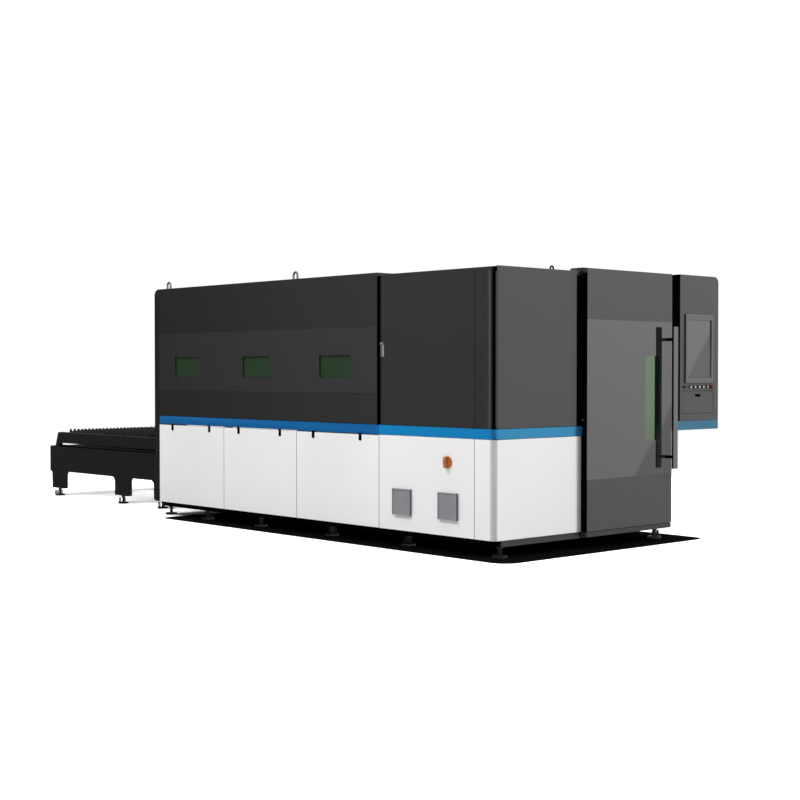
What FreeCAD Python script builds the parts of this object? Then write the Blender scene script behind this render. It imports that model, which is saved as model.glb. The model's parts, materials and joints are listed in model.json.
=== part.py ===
import FreeCAD, Part
import math
import os

# Sheet laser cutting machine with a shuttle table, millimetres.
# Stations used while modelling: x = 0 is the front wall, x runs back as minus,
# y = 0 is the near long side, z = 0 is the floor.

# Enclosure
body_length = 4980.0
body_width = 2320.0
front_top = 2360.0
main_top = 2380.0
skin_bottom = 146.0
band_low = 965.0
band_high = 1048.0
skin_depth = 30.0
sheet = 2.5
inner_sheet = 3.0
seam = 3.0
roof_cap = 30.0
roof_round = 70.0
corner_length = 231.0
chamfer_side = 35.0
chamfer_front = 15.0
cabinet_end = 1380.0
groove_width = 46.0
rear_post = 90.0
bay_count = 3
skirt_near = 100.0
skirt_sheet = 8.0

# Frame and bed
post = 60.0
tube_wall = 4.0
base_low = 90.0
base_tube = 100.0
first_foot = 80.0
middle_feet = [1170.0, 2210.0, 3300.0, 4200.0]
last_foot_inset = 100.0
foot_pad_radius = 60.0
foot_pad_height = 18.0
foot_stem_radius = 14.0
foot_nut_height = 20.0
beam_width = 240.0
beam_wall = 8.0
beam_low = 620.0
beam_top = 920.0
first_column = 90.0
bed_cross_low = 450.0
bed_cross_high = 550.0
guide_inset = 105.6
guide_width = 34.0
guide_height = 25.0
guide_to_track = 20.0
track_width = 60.0
track_height = 12.0
tray_height = 210.0
tray_gap = 10.0

# Long side details
gloss_low = 1320.0
gloss_high = 1905.0
gloss_sheet = 4.0
window_length = 440.0
window_low = 1456.0
window_high = 1661.0
window_front_margin = 580.0
window_rear_margin = 524.0
window_glass = 6.0
window_recess = 14.0
window_lip = 3.0
flap_hinge_inset = 250.0
flap_hinge_width = 36.0
flap_hinge_drop = 62.0
flap_pin_radius = 3.0
flap_knuckle = 6.0
flap_pin_set = 6.0
flap_ear = 11.0

# Cabinet in the front section
cabinet_width = 1017.0
pivot_inset = 6.0
pivot_radius = 3.0
bracket_height = 30.0
pivot_height = 62.0
upper_hinge_heights = [1180.0, 2190.0]
lower_hinge_heights = [230.0, 850.0]
vent_width = 224.0
vent_height = 227.0
vent_low = 280.0
vent_proud = 25.0
vent_wall = 5.0
vent_stations = [530.0, 1094.0]
louvre_count = 14
knob_station = 541.0
knob_height = 761.0
knob_radius = 50.0
knob_proud = 45.0
knob_disc = 12.0
knob_stem = 7.0
latch_station = 1354.0
latch_low = 1640.0
latch_high = 1770.0
latch_width = 34.0
latch_plate_thick = 5.0
latch_pin_set = 11.0
latch_pin_drop = 13.0
drive_count = 5

# Front sliding door
jamb_left = 1000.0
door_left = 1077.0
door_edge_inset = 62.0
door_back = 4.0
door_face = 52.0
door_low = 146.0
door_top = 2395.0
door_glass_low = 588.0
door_glass_high = 1961.0
door_window_inset = 168.0
door_window_width = 217.0
door_window_low = 900.0
door_window_high = 1650.0
door_window_lip = 12.0
door_overlap = 18.0
handle_inset = 42.0
handle_width = 66.0
handle_thick = 20.0
handle_gap = 80.0
handle_low = 641.0
handle_high = 1916.0
handle_post_radius = 14.0
handle_post_heights = [745.0, 1802.0]
hanger_depth = 60.0
track_far = 44.0
track_near = 20.0
track_rise = 10.0
header_depth = 150.0
header_top = 2400.0
header_round = 30.0
sill_gap = 10.0
sill_short = 4.0
fin_thick = 8.0
fin_length = 100.0

# Console
neck_width = 127.0
neck_setback = 12.0
console_width = 599.0
console_low = 1058.0
console_top = 2405.0
console_depth = 280.0
console_round = 60.0
bezel_left = 69.0
bezel_right = 95.0
bezel_low = 1407.0
bezel_high = 2044.0
bezel_proud = 16.0
bezel_chamfer = 4.0
screen_left = 101.0
screen_right = 127.0
screen_low = 1456.0
screen_high = 1992.0
screen_thick = 4.0
button_height = 1372.0
button_first = 156.0
button_last = 181.0
button_count = 5
red_button_right = 149.0
button_radius = 11.0
button_stem = 8.0
button_travel = 4.0
stem_length = 16.0
stop_right = 109.0
stop_radius = 22.5
stop_stand = 12.0
key_place = 66.0
keypad_left = 38.0
keypad_right = 86.0
keypad_low = 1128.0
keypad_high = 1331.0
keypad_depth = 22.0
keypad_gap = 3.0
keypad_pin_radius = 3.0
keypad_pin_set = 6.0
pull_width = 85.0
pull_height = 23.0
pull_centre_height = 1292.0
pull_depth = 12.0

# Shuttle table and pallet
table_length = 2976.0
table_inset = 400.0
table_low = 300.0
table_top = 605.0
table_side = 60.0
table_plate = 8.0
table_beam = 100.0
table_beam_rise = 20.0
leg_width = 280.0
leg_low = 90.0
leg_round = 60.0
leg_distances = [2788.0, 1332.0, 510.0]
table_pad_radius = 60.0
table_stem_radius = 12.0
pallet_setback = 207.0
pallet_length = 3119.0
pallet_low = 645.0
pallet_high = 777.0
pallet_tube = 60.0
pallet_wall = 5.0
pallet_end_height = 100.0
spine_width = 80.0
spine_height = 60.0
comb_width = 10.0
comb_depth = 44.0
slat_low = 720.0
slat_tip = 820.0
slat_thick = 6.0
slat_pitch = 100.0
slat_margin = 110.0
tooth_pitch = 50.0
tooth_depth = 25.0
wheel_radius = 45.0
wheel_width = 20.0
wheel_gap = 12.0
axle_radius = 12.0
axle_rise = 20.0
axle_reach = 8.0
wheel_inset = 420.0
rail_width = 26.0
rail_height = 14.0
roller_radius = 45.0
roller_width = 70.0
roller_set = 50.0
motor_radius = 48.0
motor_length = 230.0

# Gantry and cutting head
gantry_station = 1700.0
gantry_width = 180.0
gantry_low = 1000.0
gantry_high = 1230.0
saddle_length = 360.0
bearing_length = 110.0
beam_rail_size = 24.0
beam_rail_lift = 45.0
carriage_rest = 420.0
carriage_width = 280.0
carriage_plate = 25.0
head_radius = 45.0
head_plate = 20.0
nozzle_rest = 955.0
nozzle_tip = 12.0

# Lifting eyes
rear_eye_inset = 130.0
front_eye_distance = 1274.0
eye_side = 100.0
eye_width = 78.0
eye_height = 82.0
eye_bar = 10.0
small_eye_station = 460.0
small_eye_offset = 40.0
small_eye_width = 50.0
small_eye_height = 90.0
small_eye_bar = 8.0

# Clearances
running = 0.3
shaft_clear = 0.05

# Derived places
main_start = cabinet_end + groove_width
white_seam = cabinet_end + groove_width / 2.0
side_end = body_length - rear_post
bay_length = (side_end - white_seam) / bay_count
bay_seams = [white_seam + bay_length * i for i in range(bay_count + 1)]
window_pitch = (side_end - main_start - window_front_margin - window_rear_margin) / (bay_count - 1)
window_centres = [-(main_start + window_front_margin + window_pitch * i) for i in range(bay_count)]
foot_stations = [first_foot] + middle_feet + [body_length - last_foot_inset]
inner = skin_depth + post
far_inner = body_width - inner
base_high = base_low + base_tube
base_half = base_tube / 2.0
beam_inner = inner + beam_width
guide_near = inner + guide_inset
track_start = guide_near + guide_width + guide_to_track
guide_top = beam_top + guide_height
frame_foot = skin_bottom + 4
front_wall_top = front_top - roof_cap
main_wall_top = main_top - roof_cap
rear_wall_top = main_top - roof_round
centre_y = body_width / 2.0
flap_pin_height = band_low - 1.0
latch_pin_height = latch_high - latch_pin_drop
door_edge = -corner_length - seam
pivot_x = door_edge - pivot_inset
door_right = body_width - door_edge_inset
door_skin = door_face - gloss_sheet
door_window_right = door_right - door_window_inset
door_window_left = door_window_right - door_window_width
handle_left = door_right - handle_inset - handle_width
handle_back = door_face + handle_gap
handle_out = handle_back + handle_thick
console_left = body_width + neck_width
console_right = console_left + console_width
button_pitch = (console_width - button_first - button_last) / (button_count - 1)
button_places = [console_left + button_first + button_pitch * i for i in range(button_count)]
button_places.append(console_right - red_button_right)
stop_y = console_right - stop_right
key_y = console_left + key_place
screen_near = console_left + screen_left
screen_far = console_right - screen_right
keypad_near = console_left + keypad_left
keypad_far = console_right - keypad_right
keypad_pivot_x = -keypad_pin_set
keypad_pivot_z = keypad_low + keypad_pin_set
table_end = body_length + table_length
table_near = table_inset
table_far = body_width - table_inset
leg_stations = [body_length + d for d in leg_distances]
pallet_rear = table_end - pallet_setback
pallet_front = pallet_rear - pallet_length
slot_top = gantry_low
slat_near = table_near + pallet_tube
slat_far = table_far - pallet_tube
axle_height = pallet_low + axle_rise
wheel_stations = [pallet_rear - wheel_inset, pallet_front + wheel_inset]
rail_top = axle_height - wheel_radius - running
cross_beam_face = base_tube - side_end
roller_x = cross_beam_face + roller_set
roller_z = pallet_low - running - roller_radius
beam_rail_heights = [gantry_low + beam_rail_lift, gantry_high - beam_rail_lift - beam_rail_size]
eye_stations = [body_length - rear_eye_inset, main_start + front_eye_distance]
small_eye_side = centre_y + small_eye_offset
head_face = -gantry_station - gantry_width / 2.0 - 125
x_shift = (table_end - handle_out) / 2.0
y_shift = -(console_right - knob_proud) / 2.0


def box(x0, x1, y0, y1, z0, z1):
    """Block between two corners, in any order."""
    lx, hx = min(x0, x1), max(x0, x1)
    ly, hy = min(y0, y1), max(y0, y1)
    lz, hz = min(z0, z1), max(z0, z1)
    return Part.makeBox(hx - lx, hy - ly, hz - lz, FreeCAD.Vector(lx, ly, lz))


def cylinder(radius, start, end):
    """Round bar between two points."""
    a = FreeCAD.Vector(*start)
    b = FreeCAD.Vector(*end)
    return Part.makeCylinder(radius, (b - a).Length, a, b - a)


def prism(points, direction):
    """Flat outline pushed along a direction."""
    ring = [FreeCAD.Vector(*p) for p in points]
    face = Part.Face(Part.makePolygon(ring + [ring[0]]))
    return face.extrude(FreeCAD.Vector(*direction))


def tube(x0, x1, y0, y1, z0, z1, along, wall=tube_wall):
    """Square tube open at both ends along one axis."""
    low = [min(x0, x1), min(y0, y1), min(z0, z1)]
    high = [max(x0, x1), max(y0, y1), max(z0, z1)]
    outer = box(low[0], high[0], low[1], high[1], low[2], high[2])
    for i in range(3):
        grow = -1.0 if i == "xyz".index(along) else wall
        low[i] += grow
        high[i] -= grow
    return outer.cut(box(low[0], high[0], low[1], high[1], low[2], high[2]))


def pan(x0, x1, y0, y1, z0, z1, face, wall=sheet):
    """Folded sheet panel: a skin on the named side with four return flanges."""
    low = [min(x0, x1), min(y0, y1), min(z0, z1)]
    high = [max(x0, x1), max(y0, y1), max(z0, z1)]
    outer = box(low[0], high[0], low[1], high[1], low[2], high[2])
    axis = "xyz".index(face[1])
    for i in range(3):
        low[i] += wall
        high[i] -= wall
    if face[0] == "+":
        low[axis] -= wall + 1.0
    else:
        high[axis] += wall + 1.0
    return outer.cut(box(low[0], high[0], low[1], high[1], low[2], high[2]))


def mirrored(shape):
    """Same shape on the far long side."""
    return shape.mirror(FreeCAD.Vector(0, centre_y, 0), FreeCAD.Vector(0, 1, 0))


def both_sides(shapes):
    return shapes + [mirrored(s) for s in shapes]


def joined(shapes):
    """One solid from shapes that meet."""
    out = shapes[0].fuse(shapes[1:])
    return out.removeSplitter()


# ---------------------------------------------------------------- base and bed

def base_frame():
    parts = both_sides([tube(-body_length + skin_depth, -skin_depth, inner, inner + base_tube,
                             base_low, base_high, "x")])
    stations = [skin_depth + base_half, bay_seams[0] + base_half] + bay_seams[1:-1]
    stations.append(side_end - skin_depth)
    for s in stations:
        parts.append(tube(-s - base_half, -s + base_half, inner + base_tube,
                          far_inner - base_tube, base_low, base_high, "y"))
    return parts


def front_skirt():
    """Strip under the front panel and the door sill with its guide fin."""
    strip = box(-skin_depth, -skin_depth + skirt_sheet, skirt_near, door_left - seam,
                base_low, skin_bottom - seam)
    sill = pan(-skin_depth, door_face - 2, door_left, door_right - sill_short,
               base_low + sill_gap, skin_bottom - seam, "+x")
    fin_x = (door_back + door_face) / 2.0
    fin_y = door_left + 13
    fin = box(fin_x - fin_thick / 2.0, fin_x + fin_thick / 2.0, fin_y, fin_y + fin_length,
              skin_bottom - seam, door_low + 12)
    return [strip, joined([sill, fin])]


def levelling_foot(x, y, pad_radius, stem_radius):
    """Pad on the floor, threaded stem and lock nut up to a tube's underside."""
    pad = cylinder(pad_radius, (x, y, 0), (x, y, foot_pad_height))
    stem = cylinder(stem_radius, (x, y, foot_pad_height), (x, y, base_low))
    nut = cylinder(stem_radius + 9, (x, y, base_low - foot_nut_height), (x, y, base_low))
    return joined([pad, stem, nut])


def levelling_feet():
    feet = []
    for s in foot_stations:
        y = inner + base_tube / 2.0
        feet.append(levelling_foot(-s, y, foot_pad_radius, foot_stem_radius))
    return both_sides(feet)


def column_stations():
    return [bay_seams[0] + first_column] + bay_seams[1:-1] + [side_end - base_half]


def bed():
    """Two box beams on columns, tied by cross beams below the pallet."""
    first = -main_start - 10
    last = -side_end + 5
    parts = [tube(last, first, inner, beam_inner, beam_low, beam_top, "x", beam_wall)]
    for s in column_stations():
        parts.append(tube(-s - base_half, -s + base_half, inner, inner + base_tube,
                          base_high, beam_low, "z"))
    parts = both_sides(parts)
    for s in column_stations():
        parts.append(tube(-s - base_half, -s + base_half, inner + base_tube,
                          far_inner - base_tube, bed_cross_low, bed_cross_high, "y"))
    return parts


def gantry_guides():
    """Ground rails and motor tracks on the bed beams."""
    first = -main_start - 20
    last = -side_end + 20
    rail = box(last, first, guide_near, guide_near + guide_width, beam_top, guide_top)
    track = box(last, first, track_start, track_start + track_width,
                beam_top, beam_top + track_height)
    return both_sides([rail, track])


def pallet_rails():
    first = -bay_seams[0] - post
    last = -table_end + table_side
    shelf_top = rail_top - rail_height
    stand = box(last, first, slat_near, slat_near + 6, bed_cross_high, shelf_top)
    shelf = box(last, first, slat_near, slat_near + 40, shelf_top - 6, shelf_top)
    bar = box(last, first, slat_near + 9, slat_near + 9 + rail_width, shelf_top, rail_top)
    return both_sides([joined([stand, shelf, bar])])


def scrap_trays():
    """Open trays that span the base cross tubes, one for each flap."""
    side = inner + base_tube + tray_gap
    inset = post / 2.0 + 5
    trays = []
    for i in range(bay_count):
        front = -bay_seams[i] - (post if i == 0 else inset)
        trays.append(pan(-bay_seams[i + 1] + inset, front, side, body_width - side,
                         base_high, base_high + tray_height, "-z", inner_sheet))
    return trays


def gearmotor():
    """Two bearing plates and the geared motor that turn the pallet's drive roller."""
    x, y, z = roller_x, centre_y, roller_z
    face = cross_beam_face
    bore = axle_radius + shaft_clear
    parts = []
    for side in (-1, 1):
        y0 = y + side * (roller_width / 2.0 + 8)
        plate = box(face, x + 25, y0, y0 + side * 12, bed_cross_low + 20, z + 25)
        parts.append(plate.cut(cylinder(bore, (x, y0 - 40, z), (x, y0 + 40, z))))
    gear_near = y + roller_width / 2.0 + 20
    gear_far = gear_near + 110
    gear = box(face, x + 40, gear_near, gear_far, z - 60, z + 35)
    gear = gear.cut(cylinder(bore, (x, y, z), (x, gear_near + 55, z)))
    motor_x, motor_z = face + motor_radius + 2, z - 12
    motor = cylinder(motor_radius, (motor_x, gear_far, motor_z),
                     (motor_x, gear_far + motor_length, motor_z))
    parts.append(joined([gear, motor]))
    return parts


# ---------------------------------------------------------------- enclosure frame

def upright(x0, x1, top):
    return tube(x0, x1, skin_depth, inner, frame_foot, top, "z")


def enclosure_frame():
    """Square tubes behind the skins: posts, rails along the sides and across the roof."""
    front_rail = front_wall_top - post
    main_rail = main_wall_top - post
    half = post / 2.0
    corner_post = (-inner, -skin_depth)
    hinge_post = (-corner_length - post, -corner_length)
    groove_post = (-white_seam - half, -white_seam + half)
    bay_posts = [(-s - half, -s + half) for s in bay_seams[1:-1]]
    rear = (-body_length, -side_end)
    parts = [upright(corner_post[0], corner_post[1], front_rail),
             upright(hinge_post[0], hinge_post[1], front_rail),
             upright(groove_post[0], groove_post[1], main_rail)]
    parts += [upright(a, b, main_rail) for a, b in bay_posts]
    parts.append(tube(rear[0], rear[1], 0, inner, skin_bottom, rear_wall_top, "z"))
    posts = [corner_post, hinge_post, groove_post] + bay_posts + [rear]
    for front, back in zip(posts[:-1], posts[1:]):
        for z0, z1 in ((band_low + 10, band_low + 10 + post), (frame_foot, base_high)):
            parts.append(tube(back[1], front[0], skin_depth, inner, z0, z1, "x"))
    parts.append(tube(groove_post[1], corner_post[1], skin_depth, inner,
                      front_rail, front_wall_top, "x"))
    parts.append(tube(rear[1], groove_post[1], skin_depth, inner, main_rail, main_wall_top, "x"))
    parts = both_sides(parts)
    parts.append(tube(corner_post[0], corner_post[1], inner, far_inner,
                      front_rail, front_wall_top, "y"))
    wall = -body_length + skin_depth
    for x0, x1 in [groove_post] + bay_posts + [(wall, wall + post)]:
        parts.append(tube(x0, x1, inner, far_inner, main_rail, main_wall_top, "y"))
    parts.append(tube(wall, wall + post, inner, far_inner, slot_top, slot_top + post, "y"))
    parts.append(tube(corner_post[0], corner_post[1], cabinet_width, cabinet_width + post,
                      base_high, front_rail, "z"))
    return parts


# ---------------------------------------------------------------- skins

def near_upper_panel():
    x0, x1 = -side_end + seam, -main_start
    z0, z1 = band_high + seam, main_wall_top - seam
    panel = pan(x0, x1, 0, skin_depth, z0, z1, "-y")
    half = window_length / 2.0
    lip = half + window_lip
    for cx in window_centres:
        sleeve = box(cx - lip, cx + lip, sheet, window_recess,
                     window_low - window_lip, window_high + window_lip)
        panel = panel.fuse(sleeve)
        panel = panel.cut(box(cx - half, cx + half, -1, skin_depth, window_low, window_high))
    return [panel]


def near_gloss_panel():
    panel = box(-side_end + seam, -main_start - seam, -gloss_sheet, 0, gloss_low, gloss_high)
    half = window_length / 2.0
    for cx in window_centres:
        panel = panel.cut(box(cx - half, cx + half, -gloss_sheet - 1, 1, window_low, window_high))
    return [panel]


def near_windows():
    lip = window_length / 2.0 + window_lip
    return [box(cx - lip, cx + lip, window_recess, window_recess + window_glass,
                window_low - window_lip, window_high + window_lip) for cx in window_centres]


def corner_section(z0, z1):
    """Folded corner cover with a flat chamfer."""
    back = chamfer_front + 1
    outer = prism([(-corner_length, 0, z0), (-chamfer_side, 0, z0), (0, chamfer_front, z0),
                   (0, back, z0), (-skin_depth, back, z0), (-skin_depth, skin_depth, z0),
                   (-corner_length, skin_depth, z0)], (0, 0, z1 - z0))
    inside = prism([(-corner_length + sheet, sheet, z0 + sheet),
                    (-chamfer_side - sheet, sheet, z0 + sheet),
                    (-skin_depth - sheet, sheet + 1, z0 + sheet),
                    (-skin_depth - sheet, skin_depth + 1, z0 + sheet),
                    (-corner_length + sheet, skin_depth + 1, z0 + sheet)],
                   (0, 0, z1 - z0 - 2 * sheet))
    return outer.cut(inside)


def front_upper_panels():
    z0, z1 = band_high + seam, front_wall_top - seam
    corner = corner_section(z0, z1)
    front = pan(-skin_depth, 0, chamfer_front + 1 + seam, jamb_left, z0, z1, "+x")
    return [corner, front]


def front_lower_panels():
    z0, z1 = skin_bottom, band_low - seam
    corner = corner_section(z0, z1)
    y0, y1 = chamfer_front + 1 + seam, door_left - seam
    solid = box(-skin_depth, 0, y0, y1, z0, z1)
    edge = [e for e in solid.Edges
            if abs(e.CenterOfMass.x) < 1e-6 and abs(e.CenterOfMass.y - y1) < 1e-6]
    solid = solid.makeFillet(skin_depth * 0.8, edge)
    hollow = box(-skin_depth - 1, -sheet, y0 + sheet, y1 - skin_depth * 0.8, z0 + sheet, z1 - sheet)
    return [corner, solid.cut(hollow)]


def blue_bands():
    z0, z1 = band_low, band_high
    side = prism([(-side_end + seam, 0, z0), (-chamfer_side, 0, z0), (0, chamfer_front, z0),
                  (0, chamfer_front + 1, z0), (-skin_depth, chamfer_front + 1, z0),
                  (-skin_depth, skin_depth, z0), (-side_end + seam, skin_depth, z0)],
                 (0, 0, z1 - z0))
    cut = box(-side_end + seam + sheet, -chamfer_side - skin_depth, sheet, skin_depth + 1,
              z0 + sheet, z1 - sheet)
    front = pan(-skin_depth, 0, chamfer_front + 1 + seam, door_left - seam, z0, z1, "+x")
    far = pan(-side_end + seam, -skin_depth, body_width - skin_depth, body_width, z0, z1, "+y")
    console = pan(-console_depth, 0, body_width, console_right, console_low - (z1 - z0),
                  console_low, "+x")
    return [side.cut(cut), front, far, console]


def door_surround():
    """Black jambs beside the doorway, the roof track and the hood over it."""
    z1 = front_wall_top - seam
    left = pan(-skin_depth, 0, jamb_left + seam, door_left, band_high + seam, z1, "+x")
    right = pan(-skin_depth, 0, door_right - door_overlap, body_width - skin_depth - seam,
                skin_bottom, z1, "+x")
    track = box(-track_far, -track_near, post, body_width - skin_depth,
                front_top, front_top + track_rise - running)
    hood = box(-header_depth, door_back - 2, door_left, body_width, front_top, header_top)
    edge = [e for e in hood.Edges
            if abs(e.CenterOfMass.x + header_depth) < 1e-6
            and abs(e.CenterOfMass.z - header_top) < 1e-6]
    hood = hood.makeFillet(header_round, edge)
    hood = hood.cut(box(-hanger_depth - 4, door_back + 1, door_left - 1, body_width + 1,
                        front_top - 1, header_top - sheet))
    return [left, right, track, hood]


def rear_panels():
    x0, x1 = -body_length, -body_length + skin_depth
    near, far = inner + seam, body_width - inner - seam
    slot_near, slot_far = table_near - 10, table_far + 10
    slot_low = bed_cross_high - 5
    return [pan(x0, x1, near, far, skin_bottom, slot_low, "-x"),
            pan(x0, x1, near, slot_near, slot_low + seam, slot_top, "-x"),
            pan(x0, x1, slot_far, far, slot_low + seam, slot_top, "-x"),
            pan(x0, x1, near, far, slot_top + seam, rear_wall_top - seam, "-x")]


def roof_section(inset, low):
    """Section of the main roof across the sides, with its rounded rear edge."""
    y0, y1 = inset, body_width - inset
    rear, front, top = -body_length + inset, -main_start - inset, main_top - inset
    radius = roof_round - inset
    v = FreeCAD.Vector
    centre_x = -body_length + roof_round
    lean = radius * math.cos(math.pi / 4)
    round_edge = Part.Arc(v(rear, y0, rear_wall_top), v(centre_x - lean, y0, rear_wall_top + lean),
                          v(centre_x, y0, top)).toShape()
    points = [v(centre_x, y0, top), v(front, y0, top), v(front, y0, main_wall_top - low),
              v(-side_end, y0, main_wall_top - low), v(-side_end, y0, rear_wall_top - low),
              v(rear, y0, rear_wall_top - low), v(rear, y0, rear_wall_top)]
    lines = [Part.LineSegment(a, b).toShape() for a, b in zip(points[:-1], points[1:])
             if a.distanceToPoint(b) > 1e-6]
    return Part.Face(Part.Wire([round_edge] + lines)).extrude(v(0, y1 - y0, 0))


def roof_panels():
    front = pan(-white_seam + post / 2.0, 0, 0, body_width, front_wall_top, front_top, "+z")
    front = front.cut(prism([(1, -1, front_wall_top - 1), (-chamfer_side, -1, front_wall_top - 1),
                             (-chamfer_side, 0, front_wall_top - 1),
                             (0, chamfer_front, front_wall_top - 1),
                             (1, chamfer_front, front_wall_top - 1)], (0, 0, roof_cap + 2)))
    web = prism([(-chamfer_side, 0, front_wall_top), (0, chamfer_front, front_wall_top),
                 (-sheet, chamfer_front + sheet, front_wall_top),
                 (-chamfer_side, sheet, front_wall_top)], (0, 0, roof_cap))
    main = roof_section(0, 0).cut(roof_section(sheet, 1.0))
    return [joined([front, web]), main]


def far_upper_panels():
    y0, y1 = body_width - skin_depth, body_width
    z0 = band_high + seam
    return [pan(-side_end + seam, -main_start, y0, y1, z0, main_wall_top - seam, "+y"),
            pan(-cabinet_end, -skin_depth, y0, y1, z0, front_wall_top - seam, "+y")]


def far_lower_panels():
    y0, y1 = body_width - skin_depth, body_width
    spans = [(bay_seams[i], bay_seams[i + 1]) for i in range(bay_count)]
    spans.insert(0, (skin_depth - seam, bay_seams[0]))
    return [pan(-b + seam, -a, y0, y1, skin_bottom, band_low - seam, "+y") for a, b in spans]


# ---------------------------------------------------------------- cabinet in the front section

def cabinet_walls():
    """Sheet walls and floors of the cabinet and of the room behind the front door."""
    x0 = -white_seam + post / 2.0
    wall = cabinet_width - inner_sheet
    floor_top = base_high + inner_sheet
    top = front_wall_top - post
    side = box(x0, -skin_depth, wall, cabinet_width, base_high, top)
    low = box(x0, x0 + inner_sheet, skin_depth, wall, floor_top, band_low + 10)
    high = box(x0, x0 + inner_sheet, inner, wall, band_low + 10, top)
    floor = box(x0, -inner, inner, wall, base_high, floor_top)
    access = box(x0, -inner, cabinet_width, far_inner, base_high, floor_top)
    return [side, joined([low, high]), floor, access]


def laser_source():
    """Closed case on two skids with its beam port on top."""
    x0, x1 = -cabinet_end + 160, -corner_length - 140
    floor = base_high + inner_sheet
    low, high = floor + 40, band_low - 90
    body = box(x0, x1, inner + 160, inner + 700, low, high)
    skids = [box(x, x + 60, inner + 200, inner + 660, floor, low) for x in (x0 + 60, x1 - 120)]
    port = cylinder(28, (x1 - 150, inner + 430, high), (x1 - 150, inner + 430, high + 40))
    return [joined([body, port] + skids)]


def drive_units():
    """Mounting plate on the cabinet's inner wall with a row of drives and one of modules."""
    x0, x1 = -cabinet_end + 60, -inner - 60
    wall = cabinet_width - inner_sheet
    face = wall - 5
    z0, z1 = band_high + 90, front_wall_top - post - 60
    parts = [box(x0, x1, face, wall, z0, z1)]
    pitch = (x1 - x0 - 60) / drive_count
    for i in range(drive_count):
        x = x0 + 30 + pitch * i
        parts.append(box(x, x + pitch - 40, face - 200, face, z0 + 620, z0 + 940))
        parts.append(box(x, x + pitch - 60, face - 110, face, z0 + 240, z0 + 440))
    return parts


def hinge_bracket(z):
    """Arm on the hinge post with an upright pin for a cabinet door."""
    arm = box(pivot_x - pivot_radius, pivot_x + pivot_radius, pivot_inset, skin_depth,
              z, z + bracket_height)
    pin = cylinder(pivot_radius, (pivot_x, pivot_inset, z), (pivot_x, pivot_inset, z + pivot_height))
    return joined([arm, pin])


def hinge_knuckle(z):
    """Block on a door skin that turns on a bracket's pin."""
    block = box(pivot_x - 16, pivot_x + 5, sheet, pivot_inset + 5,
                z + bracket_height + running, z + pivot_height - 2)
    return block.cut(cylinder(pivot_radius + shaft_clear, (pivot_x, pivot_inset, z),
                              (pivot_x, pivot_inset, z + pivot_height)))


def cabinet_door(z0, z1, end, heights):
    """Door pan whose hinge edge has no return, so that it swings clear of the brackets."""
    door = pan(-end, door_edge, 0, skin_depth - running, z0, z1, "-y")
    reach = 2.0 * pivot_inset + 4.0
    door = door.cut(box(door_edge - reach, door_edge + 1, sheet, skin_depth, z0 - 1, z1 + 1))
    for z in heights:
        door = door.fuse(hinge_knuckle(z))
    return door


def cabinet_door_upper():
    door = cabinet_door(band_high + seam, front_wall_top - seam, cabinet_end - seam,
                        upper_hinge_heights)
    x = -latch_station
    hole = box(x - latch_width / 2.0 + 6, x + latch_width / 2.0 - 6, -1, sheet + 1,
               latch_low + 20, latch_high - 20)
    return [door.cut(hole)]


def latch_pin(extra, radius):
    x, half = -latch_station, latch_width / 2.0 + extra
    return cylinder(radius, (x - half, -latch_pin_set, latch_pin_height),
                    (x + half, -latch_pin_set, latch_pin_height))


def latch_plate():
    """Escutcheon on the door with two ears for the lever's pin."""
    x, half = -latch_station, latch_width / 2.0
    plate = box(x - half, x + half, -latch_plate_thick, 0, latch_low, latch_high)
    ears = [box(x + s * (half - 5), x + s * half, -latch_pin_set - 6, -latch_plate_thick,
                latch_pin_height - 9, latch_pin_height + 9) for s in (-1, 1)]
    return [joined([plate] + ears).cut(latch_pin(1, 3 + shaft_clear))]


def latch_lever():
    """Lever that lifts out of the escutcheon from below."""
    x, half = -latch_station, latch_width / 2.0 - 6
    lever = box(x - half, x + half, -latch_pin_set - 4, -latch_plate_thick - 1,
                latch_low + 4, latch_pin_height + 3)
    return [joined([lever, latch_pin(-0.5, 3)])]


def cabinet_door_lower():
    door = cabinet_door(skin_bottom, band_low - seam, white_seam - seam, lower_hinge_heights)
    x = -knob_station
    door = door.cut(cylinder(knob_stem + shaft_clear, (x, -1, knob_height), (x, 5, knob_height)))
    half = vent_width / 2.0 - 20
    for s in vent_stations:
        door = door.cut(box(-s - half, -s + half, -1, sheet + 1, vent_low + 20,
                            vent_low + vent_height - 20))
    return [door]


def cabinet_vents():
    """Bevelled covers with louvre slots through their faces."""
    vents = []
    for s in vent_stations:
        hw = vent_width / 2.0
        z0, z1 = vent_low, vent_low + vent_height
        body = box(-s - hw, -s + hw, -vent_proud, 0, z0, z1)
        rim = [e for e in body.Edges
               if abs(e.CenterOfMass.y + vent_proud) < 1e-6]
        body = body.makeChamfer(vent_wall * 2, rim)
        body = body.cut(box(-s - hw + vent_wall, -s + hw - vent_wall, -vent_proud + vent_wall, 1,
                            z0 + vent_wall, z1 - vent_wall))
        pitch = (vent_height - 60) / louvre_count
        for i in range(louvre_count):
            z = z0 + 30 + pitch * (i + 0.25)
            body = body.cut(box(-s - hw + 25, -s + hw - 25, -vent_proud - 1,
                                -vent_proud + vent_wall + 1, z, z + pitch * 0.45))
        vents.append(body)
    return vents


def isolator_knob():
    x, z = -knob_station, knob_height
    disc = cylinder(knob_radius, (x, -knob_disc, z), (x, -running, z))
    grip = box(x - 13, x + 13, -knob_proud, -knob_disc, z - knob_radius + 4, z + knob_radius - 4)
    grip = grip.makeFillet(6, [e for e in grip.Edges if abs(e.CenterOfMass.y + knob_proud) < 1e-6])
    stem = cylinder(knob_stem, (x, -running, z), (x, 30, z))
    return [joined([disc, grip, stem])]


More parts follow.
